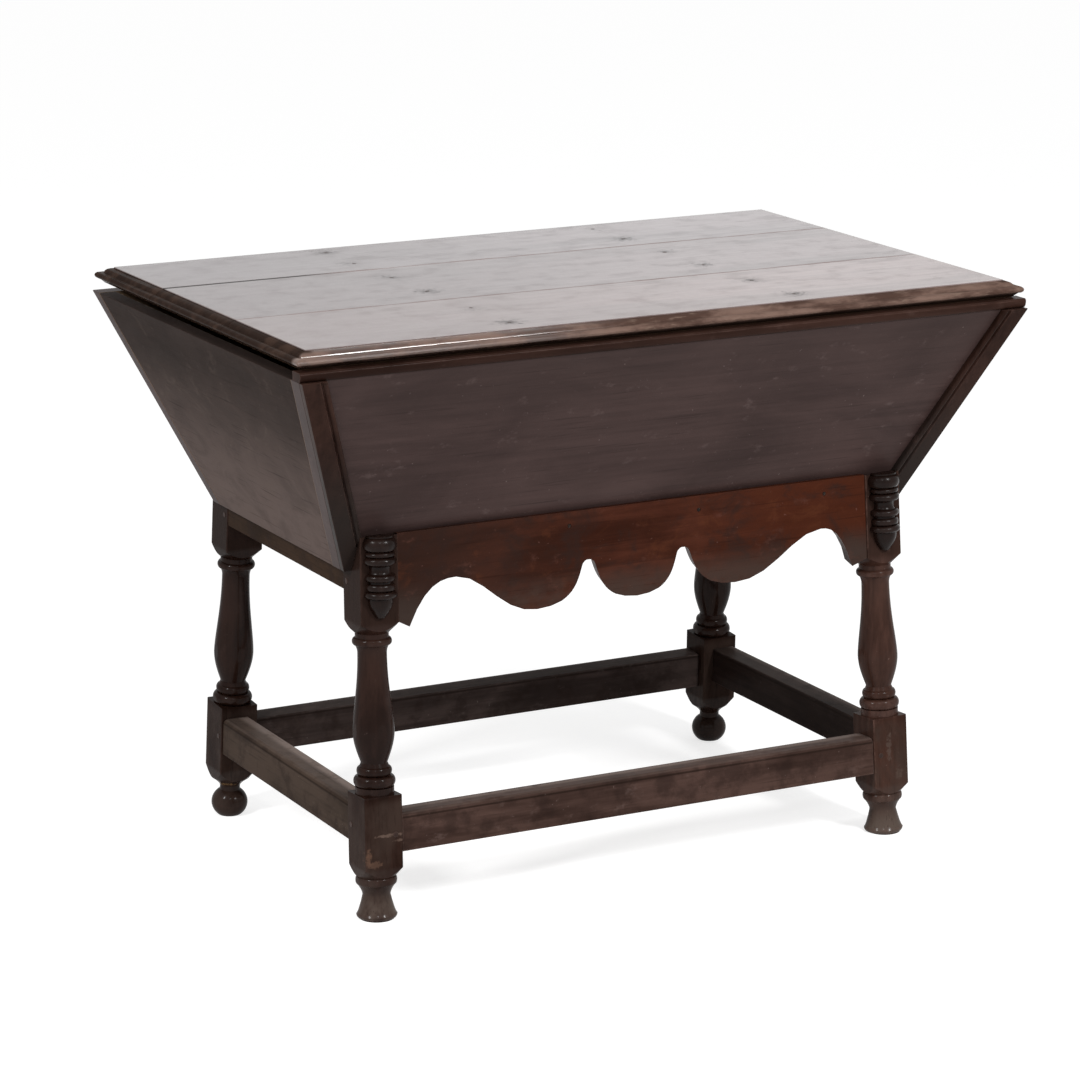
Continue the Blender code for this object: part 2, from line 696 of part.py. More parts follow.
def scallop(sign, half_length, run, tip):
    """Lower edge of the apron from its middle to one end: half lobe, cusp, lobe, ogee, arch and tip."""
    arch_end = half_length - tip + sign * SCALLOP_SHIFT
    crest = arch_end - run
    shares = [index / SCALLOP_STEPS for index in range(SCALLOP_STEPS + 1)]
    lobe = [(math.sin(math.pi / 2 * share), 1 - math.cos(math.pi / 2 * share)) for share in shares]
    edge = [(CUSP_X * out, CUSP_RISE * lift) for out, lift in lobe]
    edge += [(LOBE_X - (LOBE_X - CUSP_X) * out, CUSP_RISE * lift) for out, lift in reversed(lobe[:-1])]
    edge += [(LOBE_X + (crest - LOBE_X) * share, ARCH_RISE * (1 - math.cos(math.pi * share ** OGEE_POWER)) / 2)
             for share in shares[1:]]
    edge += [(crest + run * share, ARCH_RISE * (1 - share ** ARCH_POWER)) for share in shares[1:]]
    points = [(sign * x - SCALLOP_SHIFT, SCALLOP_FOOT + rise) for x, rise in edge]
    return points + [(sign * half_length, SCALLOP_FOOT + TIP_RISE)]


def build_aprons(legs, seat, parent):
    """Scalloped front apron and plain back apron, each bevelled behind where the trough leans on it."""
    tenon_top = LEG_TOP - APRON_TENON_DROP
    tenon = (tenon_top - APRON_TENON_HEIGHT, tenon_top)
    depth = member_depth(APRON_SETBACK, APRON_THICKNESS)
    half_length = inner_face("front", SCALLOP_FOOT) - FIT
    length = SIDES["front"][1]
    left = scallop(-1, half_length, LEFT_ARCH_RUN, LEFT_TIP)
    right = scallop(1, half_length, RIGHT_ARCH_RUN, RIGHT_TIP)
    outline = [(-length, LEG_TOP), (-length, left[-1][1])] + left[:0:-1] + right
    outline += [(length, right[-1][1]), (length, LEG_TOP)]
    place = Matrix.Translation((0, sum(depth) / 2, 0)) @ ALONG_Y
    body = extrusion("apron_front", outline, APRON_THICKNESS, place)
    front = add_member("apron_front", "front", body, depth, tenon, RED_WOOD, legs, parent)
    lean = board("front_board_lean", [side_plane(-1, STRIP_THICKNESS - FIT), level_plane(RAIL_TOP, -1)])
    combine(front, add_cutter("front_board_lean", lean), "DIFFERENCE")
    back_top = LEG_TOP - BACK_APRON_DROP
    body = block("apron_back", (-length, depth[0], back_top - BACK_APRON_HEIGHT), (length, depth[1], back_top))
    back = add_member("apron_back", "back", body, depth, tenon, DARK_WOOD, legs, parent)
    combine(back, seat, "DIFFERENCE")
    return front


# Trough

def build_trough(parent):
    """Front and back boards lap the ends of the end boards, and the floor lies between all four."""
    ends = [end_plane(-1), end_plane(1)]
    levels = [level_plane(TROUGH_TOP, 1), level_plane(TROUGH_BOTTOM, -1)]
    front_planes = [side_plane(-1, STRIP_THICKNESS), facing_back(side_plane(-1, FRONT_INNER))]
    front = add_part("trough_front_board", board("trough_front_board", front_planes + ends + levels),
                     BOARD_WOOD, parent)
    back_planes = [side_plane(1), facing_back(side_plane(1, BOARD))]
    add_part("trough_back_board", board("trough_back_board", back_planes + ends + levels), BOARD_WOOD, parent)
    between = [side_plane(-1, FRONT_INNER + FIT), side_plane(1, BOARD + FIT)]
    for name, sign in (("trough_end_left", -1), ("trough_end_right", 1)):
        planes = [end_plane(sign), facing_back(end_plane(sign, BOARD))]
        add_part(name, board(name, planes + between + levels), END_WOOD, parent)
    inside = between + [end_plane(-1, BOARD + FIT), end_plane(1, BOARD + FIT)]
    inside += [level_plane(TROUGH_BOTTOM, -1), level_plane(TROUGH_BOTTOM + FLOOR_BOARD, 1)]
    for name, sign in (("trough_bottom_front", -1), ("trough_bottom_back", 1)):
        joint = (Vector((0, sign * PLANK_GAP / 2, 0)), Vector((0, -sign, 0)))
        add_part(name, board(name, inside + [joint]), BARE_WOOD, parent)
    return front


def strip_outline():
    """Flat strip with a bead along its inner edge: distance in from the corner, and height off the board."""
    bead_radius = STRIP_BEAD / 2
    groove_level = STRIP_THICKNESS - bead_radius
    outline = [(-STRIP_WIDTH, FIT), (STRIP_WIDTH, FIT)]
    for index in range(BEAD_STEPS + 1):
        angle = math.pi * index / BEAD_STEPS
        outline.append((STRIP_WIDTH - bead_radius * (1 - math.cos(angle)),
                        groove_level + bead_radius * math.sin(angle)))
    outline.append((STRIP_WIDTH - STRIP_BEAD - STRIP_GROOVE / 2, groove_level))
    outline.append((STRIP_WIDTH - STRIP_BEAD - STRIP_GROOVE, STRIP_THICKNESS))
    outline.append((-STRIP_WIDTH, STRIP_THICKNESS))
    return outline


def build_corner_strips(parent):
    """Moulded strips that follow the front corners of the trough."""
    face = side_plane(-1, STRIP_THICKNESS)
    outward = face[1]
    for name, sign in (("corner_strip_left", -1), ("corner_strip_right", 1)):
        corner = [Vector((offset_at(end_plane(sign), 0, level), offset_at(face, 1, level), level))
                  for level in (TROUGH_BOTTOM, TROUGH_TOP)]
        run = corner[1] - corner[0]
        inward = run.cross(outward).normalized() * -sign
        place = Matrix((inward, outward, run.normalized())).transposed().to_4x4()
        place.translation = (corner[0] + corner[1]) / 2
        strip = extrusion(name, strip_outline(), run.length + STRIP_WIDTH * 4, place)
        strip = clipped(strip, [end_plane(sign), level_plane(TROUGH_TOP, 1), level_plane(TROUGH_BOTTOM, -1)])
        add_part(name, strip, DARK_WOOD, parent)


def rim_front():
    """Front face of the rim strip, a little proud of the front board's top edge."""
    return offset_at(side_plane(-1, STRIP_THICKNESS), 1, TROUGH_TOP) - RIM_OVERHANG


def build_rim(parent):
    """Low strip on the front board, hollowed below and eased above, on which the lid lies."""
    front = rim_front()
    low = TROUGH_TOP + FIT
    high = low + RIM_HEIGHT
    outline = [(front + RIM_WIDTH, low), (front + RIM_WIDTH, high), (front + RIM_COVE / 2, high)]
    for index in range(ARC_STEPS + 1):
        angle = math.pi / 2 * index / ARC_STEPS
        outline.append((front + RIM_COVE * (1 - math.cos(angle)),
                        high - RIM_COVE / 2 - (RIM_HEIGHT - RIM_COVE / 2) * math.sin(angle)))
    add_part("rim_strip_front", extrusion("rim_strip_front", outline, TROUGH_TOP_LENGTH, ALONG_X),
             DARK_WOOD, parent)


def build_apron_nails(apron, front_board, parent):
    """Nails through the top of the apron into the front board."""
    level = LEG_TOP - APRON_NAIL_DROP
    face = level * math.tan(LEAN_Y) - LEG_Y - (LEG_HALF - APRON_SETBACK) / math.cos(LEAN_Y)
    tip = offset_at(side_plane(-1, STRIP_THICKNESS), 1, level) + APRON_NAIL_BITE
    nail_x = [APRON_NAIL_X + APRON_NAIL_SPACING * step for step in (-1, 0, 1)]
    holes = [((x, face - OVERCUT, level), (x, tip + FIT, level)) for x in nail_x]
    radius = APRON_NAIL_DIAMETER / 2
    cutter = add_cutter("apron_nail_holes", rods("apron_nail_holes", holes, radius + FIT))
    combine(apron, cutter, "DIFFERENCE")
    combine(front_board, cutter, "DIFFERENCE")
    for number, x in enumerate(nail_x, 1):
        name = f"apron_nail_{number}"
        add_part(name, rods(name, [((x, face, level), (x, tip, level))], radius), IRON, parent)


# Lid, modelled from its underside upwards

def mould_edge():
    """Moulded edge from the flat top down to the underside: distance in from the outermost line, and level."""
    top = LID_THICKNESS - MOULD_STEP
    edge = [(MOULD_INSET, LID_THICKNESS)]
    for index in range(ARC_STEPS + 1):
        angle = math.pi / 2 * index / ARC_STEPS
        edge.append((MOULD_INSET - OVOLO_WIDTH * math.sin(angle), top - OVOLO_DROP * (1 - math.cos(angle))))
    nose_top = top - OVOLO_DROP
    for index in range(BEAD_STEPS + 1):
        angle = math.pi * index / BEAD_STEPS
        edge.append((NOSE_DEPTH * (1 - math.sin(angle)), nose_top - NOSE_HEIGHT * (1 - math.cos(angle)) / 2))
    return edge + [(UNDERCUT, 0)]


def plank_outline(low, high):
    """Section of a plank between two lines across the lid, moulded where it reaches the lid's edge."""
    half = LID_WIDTH / 2
    front = [(low, LID_THICKNESS), (low, 0)]
    if low == -half:
        front = [(inset - half, level) for inset, level in mould_edge()]
    back = [(high, LID_THICKNESS), (high, 0)]
    if high == half:
        back = [(half - inset, level) for inset, level in mould_edge()]
    return front + back[::-1]


def lid_planks():
    half = LID_WIDTH / 2
    back_joint = half - BACK_PLANK_WIDTH
    front_joint = FRONT_PLANK_WIDTH - half
    return {
        "lid_plank_back": (back_joint + PLANK_GAP / 2, half),
        "lid_plank_middle": (front_joint + PLANK_GAP / 2, back_joint - PLANK_GAP / 2),
        "lid_plank_front": (-half, front_joint - PLANK_GAP / 2),
    }


def build_lid(parent):
    """Three planks with moulded edges and ends, nailed from above to two cleats."""
    half = LID_LENGTH / 2
    end_edge = mould_edge()
    outline = [(inset - half, level) for inset, level in end_edge]
    outline += [(half - inset, level) for inset, level in reversed(end_edge)]
    ends_mesh = extrusion("lid_ends", outline, SPACE / 2, ALONG_Y)
    place = Vector((0, 0, LID_UNDERSIDE))
    ends = add_cutter("lid_ends", ends_mesh, place)
    cleat_x = (-CLEAT_SPACING / 2, CLEAT_SPACING / 2)
    radius = LID_NAIL_DIAMETER / 2
    nail_y = []
    planks = []
    for name, (low, high) in lid_planks().items():
        body = extrusion(name, plank_outline(low, high), LID_LENGTH + OVERCUT, ALONG_X)
        plank = add_part(name, body, LID_WOOD, parent)
        combine(plank, ends, "INTERSECT")
        planks.append(plank)
        nail_y += [low + (high - low) * share for share in LID_NAIL_SHARES]
    top_out = LID_THICKNESS + OVERCUT
    holes = [((x, y, top_out), (x, y, -LID_NAIL_BITE - FIT)) for x in cleat_x for y in nail_y]
    cutter = add_cutter("lid_nail_holes", rods("lid_nail_holes", holes, radius + FIT), place)
    for plank in planks:
        combine(plank, cutter, "DIFFERENCE")
    front = rim_front() + RIM_WIDTH + CLEAT_FRONT_GAP
    back = LID_WIDTH / 2 - CLEAT_BACK_INSET
    for along, x in zip(("left", "right"), cleat_x):
        name = "lid_cleat_" + along
        cleat = block(name, (-CLEAT_WIDTH / 2, front, -FIT - RIM_HEIGHT), (CLEAT_WIDTH / 2, back, -FIT))
        combine(add_part(name, cleat, BARE_WOOD, parent, (x, 0, 0)), cutter, "DIFFERENCE")
        for number, y in enumerate(nail_y, 1):
            name = f"lid_nail_{along}_{number}"
            nail = rods(name, [((0, 0, LID_THICKNESS), (0, 0, -LID_NAIL_BITE))], radius)
            add_part(name, nail, IRON, parent, (x, y, 0))


def main():
    stand = add_empty("stand", (0, 0, 0))
    trough = add_empty("trough", (0, 0, 0))
    lid = add_empty("lid_lift", (0, 0, LID_UNDERSIDE))
    legs, seat = build_legs(stand)
    build_spindles(stand)
    build_stretchers(legs, stand)
    build_side_rails(legs, stand)
    apron = build_aprons(legs, seat, stand)
    front_board = build_trough(trough)
    build_corner_strips(trough)
    build_rim(trough)
    build_apron_nails(apron, front_board, trough)
    build_lid(lid)


for leftover in list(bpy.data.objects):
    bpy.data.objects.remove(leftover)
PARTS = new_collection("dough_bin")
CUTTERS = new_collection("dough_bin_cutters")
main()
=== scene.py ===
"""Old dough bin: the turned, boarded and moulded pieces in their finishes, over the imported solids."""
import math

import bpy
from mathutils import Euler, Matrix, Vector


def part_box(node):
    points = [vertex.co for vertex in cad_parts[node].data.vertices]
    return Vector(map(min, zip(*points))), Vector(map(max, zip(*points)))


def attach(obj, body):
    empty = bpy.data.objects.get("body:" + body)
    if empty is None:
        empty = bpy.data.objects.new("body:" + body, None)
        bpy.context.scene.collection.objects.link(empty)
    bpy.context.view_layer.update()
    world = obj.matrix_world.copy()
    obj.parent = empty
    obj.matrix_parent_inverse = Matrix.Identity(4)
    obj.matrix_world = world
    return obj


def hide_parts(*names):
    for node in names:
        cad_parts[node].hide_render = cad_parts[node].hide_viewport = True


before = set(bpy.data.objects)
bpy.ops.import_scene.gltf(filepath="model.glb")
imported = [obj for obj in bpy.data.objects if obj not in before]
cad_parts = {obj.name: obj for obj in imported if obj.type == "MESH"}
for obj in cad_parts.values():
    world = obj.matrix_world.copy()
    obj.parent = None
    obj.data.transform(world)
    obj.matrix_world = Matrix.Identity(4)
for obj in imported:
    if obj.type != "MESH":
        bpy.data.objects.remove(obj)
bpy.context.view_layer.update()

bl_info = {
    "name": "Dough Bin",
    "version": (1, 0, 0),
    "blender": (4, 5, 0),
    "location": "3D View > Sidebar > Dough Bin",
    "description": "Dresses an old dough bin: turned legs, boarded trough, moulded lid and a plain stage",
    "category": "Object",
}

# Sizes of the solids that the fresh turnings repeat, in metres
LEG_SQUARE = 0.0524
LEG_HALF = LEG_SQUARE / 2
LEG_TOP = 0.497
LEG_X = 0.37965
LEG_Y = 0.23877
LEAN_X = math.radians(1.25)
LEAN_Y = math.radians(3.7)
FOOT_SPARE = 0.004
FOOT_HEIGHT = 0.07
LOWER_BLOCK_TOP = 0.163
UPPER_BLOCK_BOTTOM = 0.3865
FIT = 0.0003
SIDES = {"left": -1, "right": 1}

# Seat of the trough between the legs' tops, and how much of it the cutter holds
SEAT_LEVEL = 0.45
SEAT_HALF = 0.2088
SEAT_RISE = 0.2
SPLAY = 0.4889

# In degrees: edges of a turning that bend more stay sharp, and edges of a board that bend more are rounded
TURNED_ANGLE = 28.0
EASED_ANGLE = 38.0

# Radius beyond which the rings of a leg and of a spindle are worn
WORN_LEG = 0.0246
WORN_SPINDLE = 0.019

# Nails of the lid, and the joints between its planks, of which the first has opened into a step whose
# shadow is painted
NAIL_COLUMN = 0.205
LID_NAILS = [f"lid_nail_left_{number}" for number in range(1, 7)]
NAIL_ROWS = [sum(corner[1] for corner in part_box(name)) / 2 for name in LID_NAILS]
LID_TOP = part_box("lid_plank_back")[1][2]
JOINTS = [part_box(name)[0][1] for name in ("lid_plank_back", "lid_plank_middle")]

# Level of the cusps between the apron's lobes, and how far down they open out
CUSP_TOP = 0.4325
CUSP_DEPTH = 0.0565
CUSP_STEPS = (0.01, 0.025, 0.05, 0.08, 0.12, 0.18, 0.25, 0.33, 0.42,
              0.51, 0.6, 0.68, 0.75, 0.81, 0.86, 0.9, 0.935, 0.96)
LOBE_SPANS = (0.076, 0.0695)

# Each leg and bar has darkened in its own way
LEG_TONES = {"leg_front_left": 0.58, "leg_front_right": 1.45, "leg_back_left": 0.5, "leg_back_right": 0.42}
BAR_COLOURS = {
    "stretcher_front": (0.043, 0.024, 0.019), "stretcher_back": (0.033, 0.023, 0.0205),
    "stretcher_left": (0.034, 0.0225, 0.0165), "stretcher_right": (0.015, 0.0095, 0.008),
    "side_rail_left": (0.022, 0.012, 0.007), "side_rail_right": (0.015, 0.0095, 0.0075),
}

# Colours that stains, dirt and rubbing draw the woods towards, and colours of painted shade, shadow and
# highlight
LID_SEAM = (0.1, 0.038, 0.028)
LID_RUBBED = (0.085, 0.045, 0.034)
# Painted shadow in the step of the lid's opened joint
LID_STEP_SHADOW = (0.012, 0.008, 0.007)
NOSE_FRONT = ((0.054, 0.031, 0.024), (0.13, 0.083, 0.066))
NOSE_ENDS = ((0.017, 0.0098, 0.0072), (0.036, 0.0208, 0.015))
NOSE_FLECKS = (0.15, 0.105, 0.082)
# Painted shade in the undercut below the lid's nose
NOSE_PAINTED_SHADE = (0.022, 0.012, 0.0085)
RUST = (0.055, 0.026, 0.015)
LOWER_BLOCKS = (0.035, 0.023, 0.0185)
UPPER_BLOCKS = (0.017, 0.0105, 0.0085)
FOOT_RUBBED = (0.066, 0.048, 0.039)
BAR_DARK = (0.014, 0.0085, 0.007)
# Dark line just under the stretchers' top arris
BAR_UNDER_ARRIS = (0.01, 0.006, 0.0045)
# Rubbed pale wood on the stretchers' tops, partly a painted highlight along the far arris
BAR_RUBBED_AND_HIGHLIGHT = (0.19, 0.148, 0.13)
APRON_RIGHT = (0.038, 0.0088, 0.0032)
APRON_LEFT = (0.018, 0.0085, 0.006)
APRON_DARK = (0.018, 0.009, 0.007)
APRON_BRIGHT = (0.066, 0.02, 0.0085)
APRON_LOBES = (0.036, 0.0225, 0.018)
APRON_TIPS = (0.029, 0.0195, 0.016)
# Painted shadow of the lid on the long boards
BOARD_LID_SHADOW = (0.024, 0.0155, 0.014)
# Painted shade on the end boards: paler towards their foot than under the lid
END_FOOT_PAINTED_LIGHT = (0.1, 0.074, 0.066)
END_DARK = (0.02, 0.015, 0.0135)
END_PALE = (0.085, 0.064, 0.054)
STRIP_BLACK = (0.015, 0.0118, 0.0105)

# Lamps: turn from behind the camera in degrees, share of the key's power and share of the size
LAMPS = ((-46.0, 1.0, 1.0), (46.0, 0.8, 1.0), (-4.0, 0.18, 0.36))
LAMP_TARGET = Vector((0, 0, 0.45))
LAMP_RISE = 0.6
LAMP_REACH = 3.2
LAMP_SIZE = (0.36, 0.64)


class BinSizes(bpy.types.PropertyGroup):
    """Sizes that set how crisp or worn the bin is."""

    turn_steps: bpy.props.IntProperty(
        name="Turning steps", description="Faces round a turned leg", default=56, min=24, max=96)
    board_edge: bpy.props.FloatProperty(
        name="Board edge", description="Rounding of the boards' worn edges", default=0.0013, unit="LENGTH")
    bar_edge: bpy.props.FloatProperty(
        name="Bar edge", description="Rounding of the stretchers' and rails' worn edges", default=0.002,
        unit="LENGTH")
    lid_edge: bpy.props.FloatProperty(
        name="Lid edge", description="Rounding along the joints of the lid's planks", default=0.0006,
        unit="LENGTH")
    leg_arris: bpy.props.FloatProperty(
        name="Leg arris", description="Rounding of the corners of the legs' blocks", default=0.0016,
        unit="LENGTH")
    cusps: bpy.props.FloatVectorProperty(
        name="Cusps", description="Where the apron's lobes meet, along its length", size=2, unit="LENGTH",
        default=(-0.0735, 0.0655))
    cusp_gap: bpy.props.FloatProperty(
        name="Cusp gap", description="Width of the round head of each cusp", default=0.014, unit="LENGTH")
    undercut: bpy.props.FloatProperty(
        name="Undercut", description="How far the apron's sawn edge slopes in behind", default=0.006,
        unit="LENGTH")
    peg_proud: bpy.props.FloatProperty(
        name="Peg stand", description="How far the pegs stand out of the legs", default=0.0007,
        unit="LENGTH")


class BinColours(bpy.types.PropertyGroup):
    """Main colours of the woods and the iron."""

    dark: bpy.props.FloatVectorProperty(
        name="Dark wood", description="Legs and bars", subtype="COLOR", default=(0.026, 0.0115, 0.008))
    red: bpy.props.FloatVectorProperty(
        name="Red wood", description="Front apron", subtype="COLOR", default=(0.036, 0.0095, 0.0045))
    board: bpy.props.FloatVectorProperty(
        name="Board wood", description="Long boards of the trough", subtype="COLOR",
        default=(0.038, 0.0225, 0.0205))
    end: bpy.props.FloatVectorProperty(
        name="End wood", description="End boards of the trough", subtype="COLOR",
        default=(0.024, 0.0165, 0.0142))
    lid: bpy.props.FloatVectorProperty(
        name="Lid wood", description="Planks of the lid", subtype="COLOR", default=(0.211, 0.151, 0.145))
    bare: bpy.props.FloatVectorProperty(
        name="Bare wood", description="Floor, cleats and the inside", subtype="COLOR",
        default=(0.15, 0.098, 0.06))
    iron: bpy.props.FloatVectorProperty(
        name="Iron", description="Nails", subtype="COLOR", default=(0.02, 0.016, 0.014))


class StageSettings(bpy.types.PropertyGroup):
    """Camera and light."""

    lens: bpy.props.FloatProperty(
        name="Lens", description="Focal length in millimetres on a 36 mm frame", default=133.27)
    eye: bpy.props.FloatVectorProperty(
        name="Eye", description="Where the camera stands", subtype="TRANSLATION", unit="LENGTH",
        default=(-2.414, -4.6072, 1.7213))
    yaw: bpy.props.FloatProperty(
        name="Yaw", description="Turn of the camera to the right of straight ahead", subtype="ANGLE",
        default=math.radians(27.44))
    pitch: bpy.props.FloatProperty(
        name="Pitch", description="How far the camera looks down", subtype="ANGLE",
        default=math.radians(14.29))
    surround: bpy.props.FloatProperty(
        name="Surround", description="Strength of the even light from all round", default=0.6)
    key: bpy.props.FloatProperty(
        name="Key", description="Power of the strongest lamp", subtype="POWER", default=66.0)
    floor: bpy.props.FloatVectorProperty(
        name="Floor", description="Colour of the floor", subtype="COLOR", default=(0.93, 0.93, 0.93))


# Finishes

class Wire:
    """Output of a node: arithmetic on it adds Math nodes to the same tree."""

    def __init__(self, finish, output):
        self.finish = finish
        self.output = output

    def math(self, operation, *values):
        return self.finish.node("ShaderNodeMath", {"operation": operation}, dict(enumerate(values)))

    def __add__(self, other):
        return self.math("ADD", self, other)

    def __radd__(self, other):
        return self.math("ADD", other, self)

    def __sub__(self, other):
        return self.math("SUBTRACT", self, other)

    def __rsub__(self, other):
        return self.math("SUBTRACT", other, self)

    def __mul__(self, other):
        return self.math("MULTIPLY", self, other)

    def __rmul__(self, other):
        return self.math("MULTIPLY", other, self)

    def __abs__(self):
        return self.math("ABSOLUTE", self)

    def __pow__(self, other):
        return self.math("POWER", self, other)


class Finish:
    """A material, or the world, while its nodes are being laid out."""

    def __init__(self, name, kind="materials", shader="Principled BSDF"):
        self.owner = getattr(bpy.data, kind).new(name)
        self.owner.use_nodes = True
        self.tree = self.owner.node_tree
        self.shader = self.tree.nodes[shader]

    def node(self, kind, settings=(), inputs=(), output=0):
        """New node: its settings are set first, then the values or wires of its sockets."""
        made = self.tree.nodes.new(kind)
        for key, value in dict(settings).items():
            setattr(made, key, value)
        for key, value in dict(inputs).items():
            self.feed(made.inputs[key], value)
        return Wire(self, made.outputs[output])

    def feed(self, socket, value):
        if isinstance(value, Wire):
            self.tree.links.new(value.output, socket)
        else:
            socket.default_value = value

    def shade(self, **values):
        for key, value in values.items():
            self.feed(self.shader.inputs[key.replace("_", " ")], value)

    def place(self):
        return self.node("ShaderNodeTexCoord", output="Object")

    def along(self, axis, stretch, shift=0.0):
        """Object coordinates drawn out along the grain."""
        scale = [1.0, 1.0, 1.0]
        scale["XYZ".index(axis)] = 1.0 / stretch
        return self.node("ShaderNodeMapping", {}, {"Vector": self.place(), "Scale": scale,
                                                   "Location": (shift, shift * 0.7, shift * 1.3)})

    def noise(self, vector, scale, detail=3.0, rough=0.5, twist=0.0):
        return self.node("ShaderNodeTexNoise", {}, {"Vector": vector, "Scale": scale, "Detail": detail,
                                                    "Roughness": rough, "Distortion": twist})

    def ramp(self, value, low, high, start=0.0, end=1.0):
        return self.node("ShaderNodeMapRange", {"interpolation_type": "SMOOTHSTEP"},
                         {0: value, 1: low, 2: high, 3: start, 4: end})

    def mix(self, share, first, second):
        return self.node("ShaderNodeMix", {"data_type": "RGBA", "clamp_factor": True},
                         {0: share, 6: tint(first), 7: tint(second)}, output=2)

    def axes(self):
        """X, Y and Z of a point on the piece."""
        split = self.node("ShaderNodeSeparateXYZ", {}, {"Vector": self.place()})
        return [Wire(self, output) for output in split.output.node.outputs]

    def seen(self):
        """1 to the camera and in gloss and glass, 0 in other light."""
        path = self.node("ShaderNodeLightPath").output.node
        camera, gloss, glass = [Wire(self, path.outputs[f"Is {kind} Ray"])
                                for kind in ("Camera", "Glossy", "Transmission")]
        seen = camera.math("MAXIMUM", camera, gloss)
        return seen.math("MAXIMUM", seen, glass)

    def worn(self):
        return self.node("ShaderNodeAttribute", {"attribute_name": "wear"}, output="Fac")

    def bump(self, height, strength, depth):
        return self.node("ShaderNodeBump", {}, {"Height": height, "Strength": strength, "Distance": depth})


def tint(colour):
    return colour if isinstance(colour, Wire) else (*colour, 1.0)


def lighter(colour, times, grey=0.0):
    """Colour brought up or down, and drawn towards grey."""
    mean = sum(colour) / 3
    return tuple(min(1.0, times * (part + (mean - part) * grey)) for part in colour)


def old_wood(name, colour, axis, contrast=1.0, rough=0.42, gloss=0.35, shift=0.0, stain=None, rub=0.6):
    """Waxed old wood: broad tone, streaks and pores along the grain, scuffs, and wear on eased edges."""
    finish = Finish(name + "_wood")
    broad = finish.noise(finish.along(axis, 2.2, shift), 9.0, 5.0, 0.6, 0.8)
    streak = finish.noise(finish.along(axis, 22.0, shift), 95.0, 4.0, 0.6, 0.4)
    pores = finish.noise(finish.along(axis, 40.0, shift + 3.0), 420.0, 2.0, 0.5)
    scuffs = finish.noise(finish.along(axis, 1.6, shift + 7.0), 46.0, 6.0, 0.68)
    specks = finish.noise(finish.along(axis, 1.0, shift + 11.0), 210.0, 2.0, 0.5)
    tone = finish.ramp(broad * 0.65 + streak * 0.35, 0.5 - 0.15 / contrast, 0.5 + 0.15 / contrast)
    base = finish.mix(tone, lighter(colour, 0.6), lighter(colour, 1.45, 0.08))
    if stain:
        base = stain(finish, base)
    base = finish.mix(finish.ramp(pores, 0.6, 0.74) * 0.4, base, lighter(colour, 0.35))
    base = finish.mix(finish.ramp(scuffs, 0.58, 0.76) * 0.5, base, lighter(colour, 2.6, 0.35))
    base = finish.mix(finish.ramp(specks, 0.73, 0.775) * 0.34, base, lighter(colour, 5.0, 0.5))
    edge = finish.worn() * finish.ramp(scuffs, 0.4, 0.62)
    base = finish.mix(edge * rub, base, lighter(colour, 2.8, 0.3))
    height = streak * 0.35 + pores * -0.35 + scuffs * 0.5
    finish.shade(Base_Color=base, Roughness=rough + 0.16 * (scuffs - 0.5) + 0.1 * (streak - 0.5),
                 Normal=finish.bump(height, 0.3, 0.001), Specular_IOR_Level=gloss)
    return finish.owner


